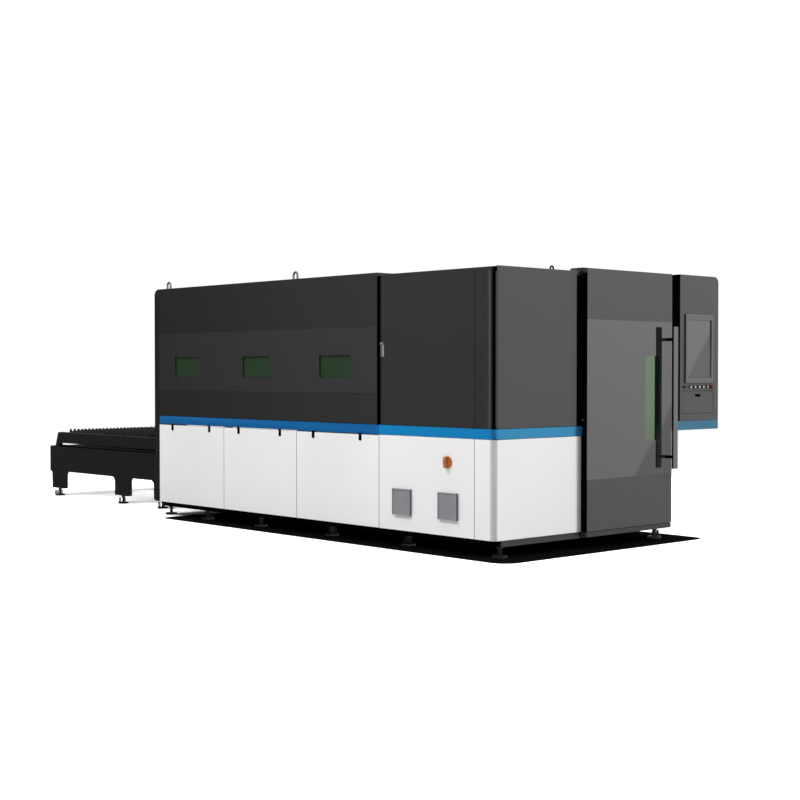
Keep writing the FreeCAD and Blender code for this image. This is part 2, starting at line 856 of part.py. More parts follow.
def hinges():
    """Cabinet door brackets and the fixed leaves over the service flaps."""
    parts = [hinge_bracket(z) for z in upper_hinge_heights + lower_hinge_heights]
    for cx in flap_hinge_places():
        w = flap_hinge_width / 2.0
        y, z = -flap_pin_set, flap_pin_height
        leaf = box(cx - w, cx + w, -3, 0, z + flap_knuckle + 1, z + flap_knuckle + 15)
        pieces = [leaf, cylinder(flap_pin_radius, (cx - w, y, z), (cx + w, y, z))]
        for x in (cx - w, cx + w - flap_ear):
            pieces.append(cylinder(flap_knuckle, (x, y, z), (x + flap_ear, y, z)))
            pieces.append(box(x, x + flap_ear, y, -running, z, z + flap_knuckle + 2))
        parts.append(joined(pieces))
    return parts


def flap_hinge_places():
    places = []
    for i in range(bay_count):
        places.append(-bay_seams[i] - flap_hinge_inset)
        places.append(-bay_seams[i + 1] + flap_hinge_inset)
    return places


def service_flap(i):
    parts = [pan(-bay_seams[i + 1] + seam, -bay_seams[i], 0, skin_depth - running,
                 skin_bottom, flap_pin_height - flap_knuckle - 1, "-y")]
    y, z = -flap_pin_set, flap_pin_height
    w = flap_hinge_width / 2.0
    own = flap_hinge_places()[2 * i:2 * i + 2]
    for cx in own:
        x0, x1 = cx - w + flap_ear + 0.5, cx + w - flap_ear - 0.5
        parts.append(box(cx - w, cx + w, -4, 0, band_low - flap_hinge_drop, z - flap_knuckle - 2))
        parts.append(box(x0, x1, y - 3, 0, z - flap_knuckle - 7, z - 4))
        parts.append(cylinder(flap_knuckle, (x0, y, z), (x1, y, z)))
    flap = joined(parts)
    for cx in own:
        flap = flap.cut(cylinder(flap_pin_radius + shaft_clear, (cx - w, y, z), (cx + w, y, z)))
    return [flap]


# ---------------------------------------------------------------- front door

def door_panel():
    """Door pan, recessed between two facings for the glass, and the bar that carries it."""
    panel = pan(door_back, door_skin, door_left, door_right, door_low, door_top, "+x")
    upper = box(door_skin, door_face, door_left, door_right, door_glass_high, door_top)
    lower = box(door_skin, door_face, door_left, door_right, door_low, door_glass_low)
    panel = joined([panel, upper, lower])
    panel = panel.cut(box(0, door_face + 1, door_window_left, door_window_right,
                          door_window_low, door_window_high))
    mid = (door_back + door_face) / 2.0
    slot = fin_thick / 2.0 + 1
    panel = panel.cut(box(mid - slot, mid + slot, door_left + 6, door_right - 6,
                          door_low - 1, door_low + 4))
    hanger = box(door_back - hanger_depth, door_back, door_left + 2, door_right - 2,
                 front_top + track_rise, door_top)
    return [panel, hanger]


def door_glass():
    glass = box(door_skin, door_face, door_left, door_right, door_glass_low, door_glass_high)
    return [glass.cut(box(0, door_face + 1, door_window_left, door_window_right,
                          door_window_low, door_window_high))]


def door_window():
    seat = door_skin - sheet
    return [box(seat - window_glass, seat, door_window_left - door_window_lip,
                door_window_right + door_window_lip, door_window_low - door_window_lip,
                door_window_high + door_window_lip)]


def door_handle():
    bar = box(handle_back, handle_out, handle_left, handle_left + handle_width,
              handle_low, handle_high)
    middle = (handle_low + handle_high) / 2.0
    bar = bar.makeFillet(3, [e for e in bar.Edges if abs(e.CenterOfMass.z - middle) < 1])
    y = handle_left + handle_width / 2.0
    posts = [cylinder(handle_post_radius, (door_face, y, z), (handle_back, y, z))
             for z in handle_post_heights]
    return [bar] + posts


# ---------------------------------------------------------------- console

def console_outline(x, length, inset, open_low):
    """Console section with one rounded top corner, pushed along x."""
    y0, y1 = console_left + inset, console_right - inset
    z0, z1 = console_low + (inset if open_low else 0), console_top - inset
    r = console_round - inset
    v = FreeCAD.Vector
    top = Part.LineSegment(v(x, y0, z1), v(x, y1 - r, z1)).toShape()
    mid = v(x, y1 - r + r * math.sin(math.pi / 4), z1 - r + r * math.cos(math.pi / 4))
    arc = Part.Arc(v(x, y1 - r, z1), mid, v(x, y1, z1 - r)).toShape()
    right = Part.LineSegment(v(x, y1, z1 - r), v(x, y1, z0)).toShape()
    low = Part.LineSegment(v(x, y1, z0), v(x, y0, z0)).toShape()
    left = Part.LineSegment(v(x, y0, z0), v(x, y0, z1)).toShape()
    face = Part.Face(Part.Wire([top, arc, right, low, left]))
    return face.extrude(v(length, 0, 0))


def console_housing():
    """Console shell with its back cover, and the neck that carries it on the far side."""
    shell = console_outline(0, -console_depth, 0, False)
    shell = shell.cut(console_outline(-sheet, -console_depth, sheet, True))
    y0, y1 = keypad_near - keypad_gap, keypad_far + keypad_gap
    z0, z1 = keypad_low - keypad_gap, keypad_high + keypad_gap
    shell = shell.cut(box(-sheet - 1, 1, y0, y1, z0, z1))
    for side, y in ((-1, y0), (1, y1)):
        shell = shell.fuse(box(-14, -sheet, y, y + side * 8, keypad_low - 4, keypad_low + 20))
    shell = shell.cut(cylinder(keypad_pin_radius + shaft_clear,
                               (keypad_pivot_x, y0 - 9, keypad_pivot_z),
                               (keypad_pivot_x, y1 + 9, keypad_pivot_z)))
    z = button_height
    for y in button_places + [key_y]:
        ring = cylinder(button_radius + 4, (0, y, z), (button_travel + 2, y, z))
        shell = shell.fuse(ring.cut(cylinder(button_radius + 0.5, (0, y, z), (9, y, z))))
    for y in button_places + [key_y, stop_y]:
        shell = shell.cut(cylinder(button_stem + shaft_clear, (-5, y, z), (1, y, z)))
    back = console_outline(-console_depth + sheet, -sheet, sheet + running, True)
    deep = -console_depth + 20
    lip = box(deep, -skin_depth, body_width, console_left, console_low, console_low + 40)
    neck = pan(deep, -neck_setback, body_width, console_left, console_low + 40, front_top + 20, "+x")
    return [shell.removeSplitter(), back, joined([lip, neck])]


def keyboard_flap():
    """Flap on two pins at its lower edge, with a tray inside and a pull pocket."""
    flap = pan(-keypad_depth, 0, keypad_near, keypad_far, keypad_low, keypad_high, "+x")
    tray = box(-keypad_depth, -keypad_depth + 4, keypad_near + sheet, keypad_far - sheet,
               keypad_low + sheet, keypad_high - sheet)
    middle = (keypad_near + keypad_far) / 2.0
    half, rise = pull_width / 2.0, pull_height / 2.0
    cup = box(-keypad_depth + 4, -sheet, middle - half - 2, middle + half + 2,
              pull_centre_height - rise - 2, pull_centre_height + rise + 2)
    reach = keypad_gap + 6
    pins = [cylinder(keypad_pin_radius, (keypad_pivot_x, a, keypad_pivot_z),
                     (keypad_pivot_x, b, keypad_pivot_z))
            for a, b in ((keypad_near - reach, keypad_near + 1), (keypad_far - 1, keypad_far + reach))]
    flap = joined([flap, tray, cup] + pins)
    return [flap.cut(box(-pull_depth, 1, middle - half, middle + half,
                         pull_centre_height - rise, pull_centre_height + rise))]


def screen_bezel():
    frame = box(0, bezel_proud, console_left + bezel_left, console_right - bezel_right,
                bezel_low, bezel_high)
    rim = [e for e in frame.Edges if abs(e.CenterOfMass.x - bezel_proud) < 1e-6]
    frame = frame.makeChamfer(bezel_chamfer, rim)
    return [frame.cut(box(-1, bezel_proud + 1, screen_near, screen_far, screen_low, screen_high))]


def screen():
    return [box(0, screen_thick, screen_near + running, screen_far - running,
                screen_low + running, screen_high - running)]


def push_button(i):
    y, z = button_places[i], button_height
    face = button_travel + 0.5
    cap = cylinder(button_radius, (face, y, z), (face + 7.5, y, z))
    stem = cylinder(button_stem, (-stem_length, y, z), (face, y, z))
    return [joined([cap, stem])]


def emergency_stop():
    y, z = stop_y, button_height
    neck = Part.makeCone(stop_radius - 5, stop_radius, 12, FreeCAD.Vector(stop_stand, y, z),
                         FreeCAD.Vector(1, 0, 0))
    dome = cylinder(stop_radius, (stop_stand + 12, y, z), (stop_stand + 18, y, z))
    rim = [e for e in dome.Edges if abs(e.CenterOfMass.x - stop_stand - 18) < 1e-6]
    stem = cylinder(button_stem, (-stem_length, y, z), (stop_stand, y, z))
    return [joined([neck, dome.makeFillet(4, rim), stem])]


def key_switch():
    y, z = key_y, button_height
    barrel = cylinder(button_stem, (-stem_length, y, z), (3, y, z))
    disc = cylinder(button_radius - 1, (3, y, z), (8, y, z))
    blade = box(8, 26, y - 1.5, y + 1.5, z - 9, z + 9)
    return [joined([barrel, disc, blade])]


# ---------------------------------------------------------------- shuttle table and pallet

def side_outline(inset):
    """Closed outline of one table side frame: a deep beam with three wide legs."""
    x_out, x_in = -table_end + inset, -body_length - inset
    z_top, z_low, z_leg = table_top - inset, table_low + inset, leg_low + inset
    points = [(x_in, z_top), (x_out, z_top), (x_out, z_low)]
    half = leg_width / 2.0 - inset
    for s in leg_stations:
        points += [(-s - half, z_low), (-s - half, z_leg), (-s + half, z_leg), (-s + half, z_low)]
    points.append((x_in, z_low))
    return points


def table_side_frame():
    y0, y1 = table_near, table_near + table_side
    outer = prism([(x, y0, z) for x, z in side_outline(0)], (0, table_side, 0))
    for s in leg_stations:
        for side in (-1, 1):
            corner_x = -s + side * leg_width / 2.0
            room = abs(corner_x + table_end)
            edges = [e for e in outer.Edges
                     if abs(e.CenterOfMass.x - corner_x) < 1e-6
                     and abs(e.CenterOfMass.y - (y0 + y1) / 2.0) < 1e-6
                     and abs(e.CenterOfMass.z - table_low) < 1e-6]
            outer = outer.makeFillet(min(leg_round, room * 0.8), edges)
    core = prism([(x, y0 + table_plate, z) for x, z in side_outline(table_plate)], (0, table_side, 0))
    return outer.cut(core)


def table_frame():
    sides = [table_side_frame()]
    sides = both_sides(sides)
    near, far = table_near + table_plate, table_far - table_plate
    beams = []
    for s in leg_stations:
        beams.append(tube(-s - table_beam / 2.0, -s + table_beam / 2.0, near, far,
                          table_low + table_beam_rise, table_low + table_beam_rise + table_beam, "y"))
    x = -table_end
    beams.append(tube(x, x + table_side, table_near + table_side, table_far - table_side,
                      table_low + 40, table_top, "y"))
    stops = []
    for y in (table_near, table_far - table_side):
        x0, x1, z1 = -pallet_rear - 80, -pallet_rear - 4, pallet_high - 4
        stops.append(prism([(x0, y, table_top), (x1, y, table_top), (x1, y, z1), (x1 - 10, y, z1)],
                           (0, table_side, 0)))
    return sides + beams + stops


def table_feet():
    y = table_near + table_side / 2.0
    return both_sides([levelling_foot(-s, y, table_pad_radius, table_stem_radius)
                       for s in leg_stations])


def axle_bores(shape, y):
    """Bores for the wheel axles through a wall near one y."""
    for s in wheel_stations:
        shape = shape.cut(cylinder(axle_radius + shaft_clear, (-s, y - spine_width, axle_height),
                                   (-s, y + spine_width, axle_height)))
    return shape


def pallet_frame():
    """Side tubes, end tubes, spine and cross tubes, with slotted combs for the slats."""
    x0, x1 = -pallet_rear, -pallet_front
    side = tube(x0, x1, table_near, slat_near, pallet_low, pallet_high, "x", pallet_wall)
    bores = box(x0 - 1, x1 + 1, table_near - 1, slat_near - pallet_wall - 1, pallet_low, pallet_high)
    side = axle_bores(side, slat_near).fuse(side.common(bores)).removeSplitter()
    comb = box(x0 + pallet_tube + 6, x1 - pallet_tube - 6, slat_near, slat_near + comb_width,
               slat_low - 8, slat_low + comb_depth)
    slot = slat_thick / 2.0 + running
    for x in slat_places():
        comb = comb.cut(box(x - slot, x + slot, slat_near - 1, slat_near + comb_width + 1,
                            slat_low, slat_tip))
    parts = both_sides([side, comb])
    for x in (x0, x1 - pallet_tube):
        parts.append(tube(x, x + pallet_tube, slat_near, slat_far,
                          pallet_low, pallet_low + pallet_end_height, "y"))
    near, far = centre_y - spine_width / 2.0, centre_y + spine_width / 2.0
    spine = tube(x0 + pallet_tube, x1 - pallet_tube, near, far,
                 pallet_low, pallet_low + spine_height, "x", pallet_wall)
    parts.append(axle_bores(spine, centre_y))
    for share in (0.33, 0.5, 0.67):
        x = x0 + pallet_length * share
        for a, b in ((slat_near, near), (far, slat_far)):
            parts.append(tube(x - 25, x + 25, a, b, pallet_low + 5, pallet_low + spine_height, "y"))
    return parts


def slat_places():
    x0, x1 = -pallet_rear + slat_margin, -pallet_front - slat_margin
    count = int((x1 - x0) / slat_pitch)
    start = (x0 + x1 - slat_pitch * count) / 2.0
    return [start + slat_pitch * i for i in range(count + 1)]


def pallet_slats():
    """Upright sheet slats with blunt teeth, which stand in the combs."""
    y0, y1 = slat_near + running, slat_far - running
    count = int((y1 - y0) / tooth_pitch)
    pitch = (y1 - y0) / count
    outline = [(y1, slat_low), (y0, slat_low), (y0, slat_tip - tooth_depth)]
    for i in range(count):
        outline.append((y0 + pitch * (i + 0.42), slat_tip))
        outline.append((y0 + pitch * (i + 0.58), slat_tip))
        outline.append((y0 + pitch * (i + 1), slat_tip - tooth_depth))
    slats = []
    for x in slat_places():
        slats.append(prism([(x - slat_thick / 2.0, y, z) for y, z in outline], (slat_thick, 0, 0)))
    return slats


def wheelset(i):
    """Axle with a wheel at each end, which turns in the pallet's side tubes."""
    x, z = -wheel_stations[i], axle_height
    axle = cylinder(axle_radius, (x, slat_near - axle_reach, z), (x, slat_far + axle_reach, z))
    y = slat_near + wheel_gap
    wheel = cylinder(wheel_radius, (x, y, z), (x, y + wheel_width, z))
    return [joined([axle, wheel, mirrored(wheel)])]


def drive_roller():
    near, far = centre_y - roller_width / 2.0, centre_y + roller_width / 2.0
    roller = cylinder(roller_radius, (roller_x, near, roller_z), (roller_x, far, roller_z))
    shaft = cylinder(axle_radius, (roller_x, near - 20, roller_z), (roller_x, far + 60, roller_z))
    return [joined([roller, shaft])]


# ---------------------------------------------------------------- gantry and head

def gantry():
    """Beam across the bed on two saddles, with the carriage rails and track on its back."""
    x = -gantry_station
    half = saddle_length / 2.0
    y0, y1 = guide_near - 12, guide_near + guide_width + 12
    under = guide_top + 20
    plate = box(x - half, x + half, y0 - 20, y1 + track_width + 20, under, gantry_low)
    blocks = [box(a, a + bearing_length, y0, y1, beam_top + 8, under)
              for a in (x - half, x + half - bearing_length)]
    coil = box(x - half + 20, x + half - 20, track_start + 2, track_start + track_width - 2,
               beam_top + track_height + 1, under)
    saddle = joined([plate, coil] + blocks)
    saddle = saddle.cut(box(x - half - 1, x + half + 1, guide_near - running,
                            guide_near + guide_width + running, beam_top, guide_top + running))
    back = x - gantry_width / 2.0
    beam = tube(back, x + gantry_width / 2.0, inner + 60, far_inner - 60,
                gantry_low, gantry_high, "y", beam_wall)
    ends = (inner + 110, far_inner - 110)
    rails = [box(back - 20, back, ends[0], ends[1], z, z + beam_rail_size) for z in beam_rail_heights]
    track = box(back - 8, back, ends[0], ends[1], gantry_low + 90, gantry_low + 140)
    return both_sides([saddle]) + [beam] + rails + [track]


def carriage():
    """Plate on four bearings with the upright housing and motor of the head's slide."""
    face = -gantry_station - gantry_width / 2.0
    plate_back = face - 45 - carriage_plate
    y, half = carriage_rest, carriage_width / 2.0
    parts = [box(plate_back, face - 45, y - half, y + half, gantry_low + 20, gantry_high - 20)]
    for z in beam_rail_heights:
        for y0 in (y - half + 10, y + half - 90):
            parts.append(box(face - 45, face - 4, y0, y0 + 80, z - 10, z + beam_rail_size + 10))
    parts.append(box(head_face, plate_back, y - 60, y + 60, gantry_low - 20, gantry_high + 110))
    parts.append(box(head_face + 3, head_face + 93, y - 45, y + 45,
                     gantry_high + 110, gantry_high + 230))
    body = joined(parts)
    for z in beam_rail_heights:
        body = body.cut(box(face - 20 - running, face + 1, y - half - 1, y + half + 1,
                            z - running, z + beam_rail_size + running))
    return [body]


def cutting_head():
    """Slide plate, barrel, collimator cap and the tapered nozzle under it."""
    y = carriage_rest
    x = head_face - head_plate - head_radius + 8
    low, high = gantry_low + 60, gantry_high + 60
    plate = box(head_face - head_plate, head_face - running, y - 55, y + 55,
                gantry_low + 40, gantry_high + 80)
    barrel = cylinder(head_radius, (x, y, low), (x, y, high))
    cap = cylinder(head_radius - 14, (x, y, high), (x, y, high + 90))
    cone = Part.makeCone(head_radius - 4, nozzle_tip, low - nozzle_rest - nozzle_tip,
                         FreeCAD.Vector(x, y, low), FreeCAD.Vector(0, 0, -1))
    tip = cylinder(7, (x, y, nozzle_rest), (x, y, nozzle_rest + nozzle_tip))
    return [joined([plate, barrel, cap, cone, tip])]


# ---------------------------------------------------------------- lifting eyes

def lifting_eye(x, y, z, width, height, bar):
    """Round bar bent to an upright U on a small base plate."""
    r = width / 2.0 - bar
    top = z + height - bar - r
    legs = [cylinder(bar, (x + s * r, y, z + 6), (x + s * r, y, top)) for s in (-1, 1)]
    bend = Part.makeTorus(r, bar, FreeCAD.Vector(x, y, top), FreeCAD.Vector(0, 1, 0))
    bend = bend.cut(box(x - width, x + width, y - width, y + width, top - width, top))
    base = box(x - width / 2.0 - 6, x + width / 2.0 + 6, y - 18, y + 18, z, z + 6)
    return joined([base, bend] + legs)


def lifting_eyes():
    eyes = both_sides([lifting_eye(-s, eye_side, main_top, eye_width, eye_height, eye_bar)
                       for s in eye_stations])
    eyes.append(lifting_eye(-small_eye_station, small_eye_side, front_top, small_eye_width,
                            small_eye_height, small_eye_bar))
    return eyes


# ---------------------------------------------------------------- writing the nodes

def write(name, shapes):
    moved = []
    for shape in shapes:
        for solid in shape.Solids:
            solid = solid.copy()
            solid.translate(FreeCAD.Vector(x_shift, y_shift, 0))
            moved.append(solid)
    out = moved[0] if len(moved) == 1 else Part.makeCompound(moved)
    if not out.isValid():
        print("not valid:", name)
    out.exportStep("parts/" + name + ".step")


nodes = {
    "base_frame": base_frame() + front_skirt(),
    "levelling_feet": levelling_feet(),
    "bed": bed(),
    "gantry_guides": gantry_guides(),
    "pallet_rails": pallet_rails(),
    "scrap_trays": scrap_trays(),
    "gearmotor": gearmotor(),
    "enclosure_frame": enclosure_frame(),
    "near_upper_panel": near_upper_panel(),
    "near_gloss_panel": near_gloss_panel(),
    "near_windows": near_windows(),
    "front_upper_panels": front_upper_panels(),
    "front_lower_panels": front_lower_panels(),
    "blue_bands": blue_bands(),
    "door_surround": door_surround(),
    "rear_panels": rear_panels(),
    "roof_panels": roof_panels(),
    "far_upper_panels": far_upper_panels(),
    "far_lower_panels": far_lower_panels(),
    "cabinet_walls": cabinet_walls(),
    "laser_source": laser_source(),
    "drive_units": drive_units(),
    "hinges": hinges(),
    "lifting_eyes": lifting_eyes(),
    "console_housing": console_housing(),
    "screen_bezel": screen_bezel(),
    "screen": screen(),
    "table_frame": table_frame(),
    "table_feet": table_feet(),
    "door_panel": door_panel(),
    "door_glass": door_glass(),
    "door_window": door_window(),
    "door_handle": door_handle(),
    "cabinet_door_upper": cabinet_door_upper(),
    "latch_plate": latch_plate(),
    "latch_lever": latch_lever(),
    "cabinet_door_lower": cabinet_door_lower(),
    "cabinet_vents": cabinet_vents(),
    "isolator_knob": isolator_knob(),
    "keyboard_flap": keyboard_flap(),
    "emergency_stop": emergency_stop(),
    "key_switch": key_switch(),
    "pallet_frame": pallet_frame(),
    "pallet_slats": pallet_slats(),
    "drive_roller": drive_roller(),
    "gantry": gantry(),
    "carriage": carriage(),
    "cutting_head": cutting_head(),
}
for i in range(bay_count):
    nodes["service_flap_%d" % (i + 1)] = service_flap(i)
for i in range(len(button_places)):
    nodes["push_button_%d" % (i + 1)] = push_button(i)
for i in range(2):
    nodes["wheelset_%d" % (i + 1)] = wheelset(i)

os.makedirs("parts", exist_ok=True)
for name, shapes in nodes.items():
    write(name, shapes)
print(len(nodes), "nodes")
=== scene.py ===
import json
import math
import bmesh
import bpy
from mathutils import Matrix, Vector


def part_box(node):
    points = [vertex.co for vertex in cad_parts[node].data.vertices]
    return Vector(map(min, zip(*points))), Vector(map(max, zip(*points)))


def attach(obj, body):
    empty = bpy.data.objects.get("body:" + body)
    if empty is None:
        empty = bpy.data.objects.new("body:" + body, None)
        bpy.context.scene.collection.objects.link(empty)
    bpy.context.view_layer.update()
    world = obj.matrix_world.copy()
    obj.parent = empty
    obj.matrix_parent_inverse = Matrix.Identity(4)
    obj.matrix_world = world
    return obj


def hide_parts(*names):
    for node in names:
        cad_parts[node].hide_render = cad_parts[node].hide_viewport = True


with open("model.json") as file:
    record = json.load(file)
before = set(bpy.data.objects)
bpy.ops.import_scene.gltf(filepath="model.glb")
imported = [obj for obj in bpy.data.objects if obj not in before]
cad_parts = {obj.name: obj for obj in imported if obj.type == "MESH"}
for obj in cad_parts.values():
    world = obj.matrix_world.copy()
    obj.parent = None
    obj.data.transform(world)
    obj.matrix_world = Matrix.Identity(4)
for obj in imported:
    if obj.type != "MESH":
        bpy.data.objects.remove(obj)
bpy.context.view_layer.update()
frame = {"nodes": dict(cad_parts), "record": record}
nodes = frame["nodes"]
bodies = frame["record"]["behaviour"]["bodies"]
bodyOfNode = {node: body for body, members in bodies.items() for node in members}
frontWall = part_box("front_lower_panels")[1].x
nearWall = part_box("near_upper_panel")[0].y
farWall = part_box("far_upper_panels")[1].y
faceX, faceY, faceZ = Vector((1, 0, 0)), Vector((0, 1, 0)), Vector((0, 0, 1))
print("frame loaded:", len(nodes), "nodes")

# Camera: metres ahead of the front wall, out from the near wall and above the floor, and degrees
# that it turns and looks down, as the picture was taken
cameraView = {"ahead": 7.9243, "aside": 8.2841, "height": 1.5098, "turn": 47.542, "down": 1.124,
              "lens": 64.198, "sensor": 36, "reach": 200}


def makeCamera():
    camera = bpy.data.objects.new("camera", bpy.data.cameras.new("camera"))
    camera.data.lens = cameraView["lens"]
    camera.data.sensor_width = cameraView["sensor"]
    camera.data.clip_end = cameraView["reach"]
    camera.location = (frontWall + cameraView["ahead"], nearWall - cameraView["aside"],
                       cameraView["height"])
    camera.rotation_euler = (math.radians(90 - cameraView["down"]), 0,
                             math.radians(cameraView["turn"]))
    bpy.context.scene.collection.objects.link(camera)
    bpy.context.scene.camera = camera


makeCamera()
bpy.context.scene.view_settings.view_transform = "Standard"
print("camera placed")


def maths(operation, swapped=False):
    # an operator that adds one Math node; its reflected form swaps the two inputs

    def method(self, other):
        first, second = (other, self) if swapped else (self, other)
        return self.bench.node("ShaderNodeMath", {"operation": operation}, {0: first, 1: second})

    return method


class Signal:
    # one output socket that takes part in plain arithmetic

    def __init__(self, bench, socket):
        self.bench = bench
        self.socket = socket

    def also(self, name):
        return Signal(self.bench, self.bench.find(self.socket.node.outputs, name))

    __add__, __radd__ = maths("ADD"), maths("ADD", True)
    __sub__, __rsub__ = maths("SUBTRACT"), maths("SUBTRACT", True)
    __mul__, __rmul__ = maths("MULTIPLY"), maths("MULTIPLY", True)
    __truediv__, __rtruediv__ = maths("DIVIDE"), maths("DIVIDE", True)
    __mod__, __rmod__ = maths("FLOORED_MODULO"), maths("FLOORED_MODULO", True)
    __gt__, __lt__ = maths("GREATER_THAN"), maths("LESS_THAN")


class Bench:
    # builds the nodes of one tree, for a finish or for a shape

    def __init__(self, tree):
        self.tree = tree
        tree.nodes.clear()

    def find(self, sockets, key):
        if isinstance(key, int):
            return sockets[key]
        return next(s for s in sockets if s.name == key and s.enabled)

    def feed(self, socket, value):
        if isinstance(value, Signal):
            self.tree.links.new(value.socket, socket)
        elif socket.type == "RGBA" and len(value) == 3:
            socket.default_value = (*value, 1)
        else:
            socket.default_value = value

    def node(self, kind, settings=None, values=None):
        made = self.tree.nodes.new(kind)
        for key, value in (settings or {}).items():
            if key == "stops":
                self.fillRamp(made.color_ramp, value)
            else:
                setattr(made, key, value)
        for key, value in (values or {}).items():
            self.feed(self.find(made.inputs, key), value)
        shown = [s for s in made.outputs if s.enabled]
        return Signal(self, shown[0]) if shown else None

    def fillRamp(self, ramp, stops):
        while len(ramp.elements) < len(stops):
            ramp.elements.new(1)
        for element, (place, colour) in zip(ramp.elements, stops):
            element.position = place
            element.color = (*colour, 1)

    def place(self):
        return self.node("ShaderNodeTexCoord").also("Object")

    def axes(self, vector):
        return self.node("ShaderNodeSeparateXYZ", None, {"Vector": vector})

    def vector(self, **parts):
        return self.node("ShaderNodeCombineXYZ", None, parts)

    def measure(self, operation, *vectors):
        # the number that a Vector Math node makes of its vectors
        made = self.node("ShaderNodeVectorMath", {"operation": operation}, dict(enumerate(vectors)))
        return made.also("Value")

    def noise(self, scale, detail, vector=None):
        return self.node("ShaderNodeTexNoise", None,
                         {"Scale": scale, "Detail": detail, "Vector": vector or self.place()})

    def bump(self, height, strength, distance):
        return self.node("ShaderNodeBump", None,
                         {"Height": height, "Strength": strength, "Distance": distance})

    def ranged(self, value, low, high, start, end, kind="LINEAR"):
        return self.node("ShaderNodeMapRange", {"interpolation_type": kind},
                         {"Value": value, "From Min": low, "From Max": high, "To Min": start,
                          "To Max": end})

    def spread(self, middle, cloud, width):
        # a number that a cloud moves by half the width either way
        return middle - width / 2 + width * cloud

    def mixColour(self, factor, first, second, blend="MIX"):
        return self.node("ShaderNodeMix", {"data_type": "RGBA", "blend_type": blend},
                         {"Factor": factor, "A": first, "B": second})

    def clouded(self, cloud, colour, dark, light):
        # the colour a little darker and lighter where the cloud says
        dim = self.mixColour(1.0, colour, (dark, dark, dark), "MULTIPLY")
        lit = self.mixColour(1.0, colour, (light, light, light), "MULTIPLY")
        return self.mixColour(cloud, dim, lit)

    def drifted(self, colour, drifts):
        # another colour up to one place along an axis, which turns into the main one by the next
        for axis, start, end, other in drifts:
            along = self.axes(self.place()).also(axis)
            share = self.ranged(along, start, end, 0.0, 1.0, "SMOOTHSTEP")
            colour = self.mixColour(share, other, colour)
        return colour

    def mixShader(self, factor, first, second):
        return self.node("ShaderNodeMixShader", None, {0: factor, 1: first, 2: second})


def finish(name, build, **constants):
    # a material whose build function gives the sockets that vary over the surface
    material = bpy.data.materials.new(name)
    material.use_nodes = True
    bench = Bench(material.node_tree)
    values = {key.replace("_", " "): value for key, value in constants.items()}
    values.update(build(bench))
    shader = bench.node("ShaderNodeBsdfPrincipled", None, values)
    bench.node("ShaderNodeOutputMaterial", None, {"Surface": shader})
    return material


# Surfaces with clouds over a fine grain: scale and detail of both, how dark and how light the
# clouds turn the colour, how far they move the roughness, how high the grain stands, and for
# powder the coarser peel that a share of the grain is added to
surfaces = {
    "powder": {"clouds": (1.1, 3.0), "grain": (420.0, 2.0), "tone": (0.96, 1.05), "sheen": 0.06,
               "height": 0.0004, "peel": (95.0, 2.0), "grainShare": 0.6},
    "plastic": {"clouds": (14.0, 2.0), "grain": (1500.0, 2.0), "tone": (0.93, 1.07), "sheen": 0.06,
                "height": 0.0002},
    "plate": {"clouds": (26.0, 4.0), "grain": (700.0, 2.0), "tone": (0.88, 1.06), "sheen": 0.10,
              "height": 0.0002},
    "rubber": {"clouds": (600.0, 2.0), "grain": (600.0, 2.0), "tone": (0.80, 1.30), "sheen": 0.10,
               "height": 0.0004},
}


def grained(name, kind, colour, roughness, relief, drifts=(), **constants):
    look = surfaces[kind]

    def build(bench):
        clouds = bench.noise(*look["clouds"])
        grain = bench.noise(*look["grain"])
        if "peel" in look:
            grain = look["grainShare"] * grain + bench.noise(*look["peel"])
        return {"Base Color": bench.clouded(clouds, bench.drifted(colour, drifts), *look["tone"]),
                "Roughness": bench.spread(roughness, clouds, look["sheen"]),
                "Normal": bench.bump(grain, relief, look["height"])}

    return finish(name, build, **constants)


def powderCoat(name, colour, roughness, relief=0.08, gloss=0.5, drifts=()):
    # sprayed powder: fine orange peel over a slightly uneven sheen
    return grained(name, "powder", colour, roughness, relief, drifts, Specular_IOR_Level=gloss)


def plastic(name, colour, roughness, relief=0.15):
    # moulded plastic with a fine spark-eroded grain
    return grained(name, "plastic", colour, roughness, relief)


def plated(name, colour, roughness):
    # zinc or chrome plating with a faint cloud in its sheen
    return grained(name, "plate", colour, roughness, 0.06, Metallic=1.0)


def rubber(name, colour):
    return grained(name, "rubber", colour, 0.77, 0.12)


# Metal brushed or ground along one axis: how fine its lines are across and along, their detail,
# the clouds over them, and how far both move the tone and the roughness
brush = {"across": 900.0, "along": 8.0, "detail": 3.0, "clouds": (9.0, 2.0), "tone": (0.84, 1.10),
         "lineSheen": 0.10, "cloudSheen": 0.06, "relief": 0.25, "height": 0.0002}


def brushed(name, colour, roughness, axis):
    def build(bench):
        stretch = [brush["along"] if i == axis else brush["across"] for i in range(3)]
        turned = bench.node("ShaderNodeMapping", None, {"Vector": bench.place(), "Scale": stretch})
        lines = bench.noise(1.0, brush["detail"], turned)
        clouds = bench.noise(*brush["clouds"])
        sheen = bench.spread(roughness, lines, brush["lineSheen"])
        return {"Base Color": bench.clouded(lines, colour, *brush["tone"]),
                "Roughness": bench.spread(sheen, clouds, brush["cloudSheen"]),
                "Normal": bench.bump(lines, brush["relief"], brush["height"])}

    return finish(name, build, Metallic=1.0)


# Cast sheet, polished, with a very faint haze
polish = {"haze": (7.0, 4.0), "tone": (0.96, 1.04), "roughness": 0.011, "sheen": 0.01}


def polishedSheet(name, colour, ior, drifts=()):
    def build(bench):
        haze = bench.noise(*polish["haze"])
        return {"Base Color": bench.clouded(haze, bench.drifted(colour, drifts), *polish["tone"]),
                "Roughness": bench.spread(polish["roughness"], haze, polish["sheen"])}

    return finish(name, build, IOR=ior)


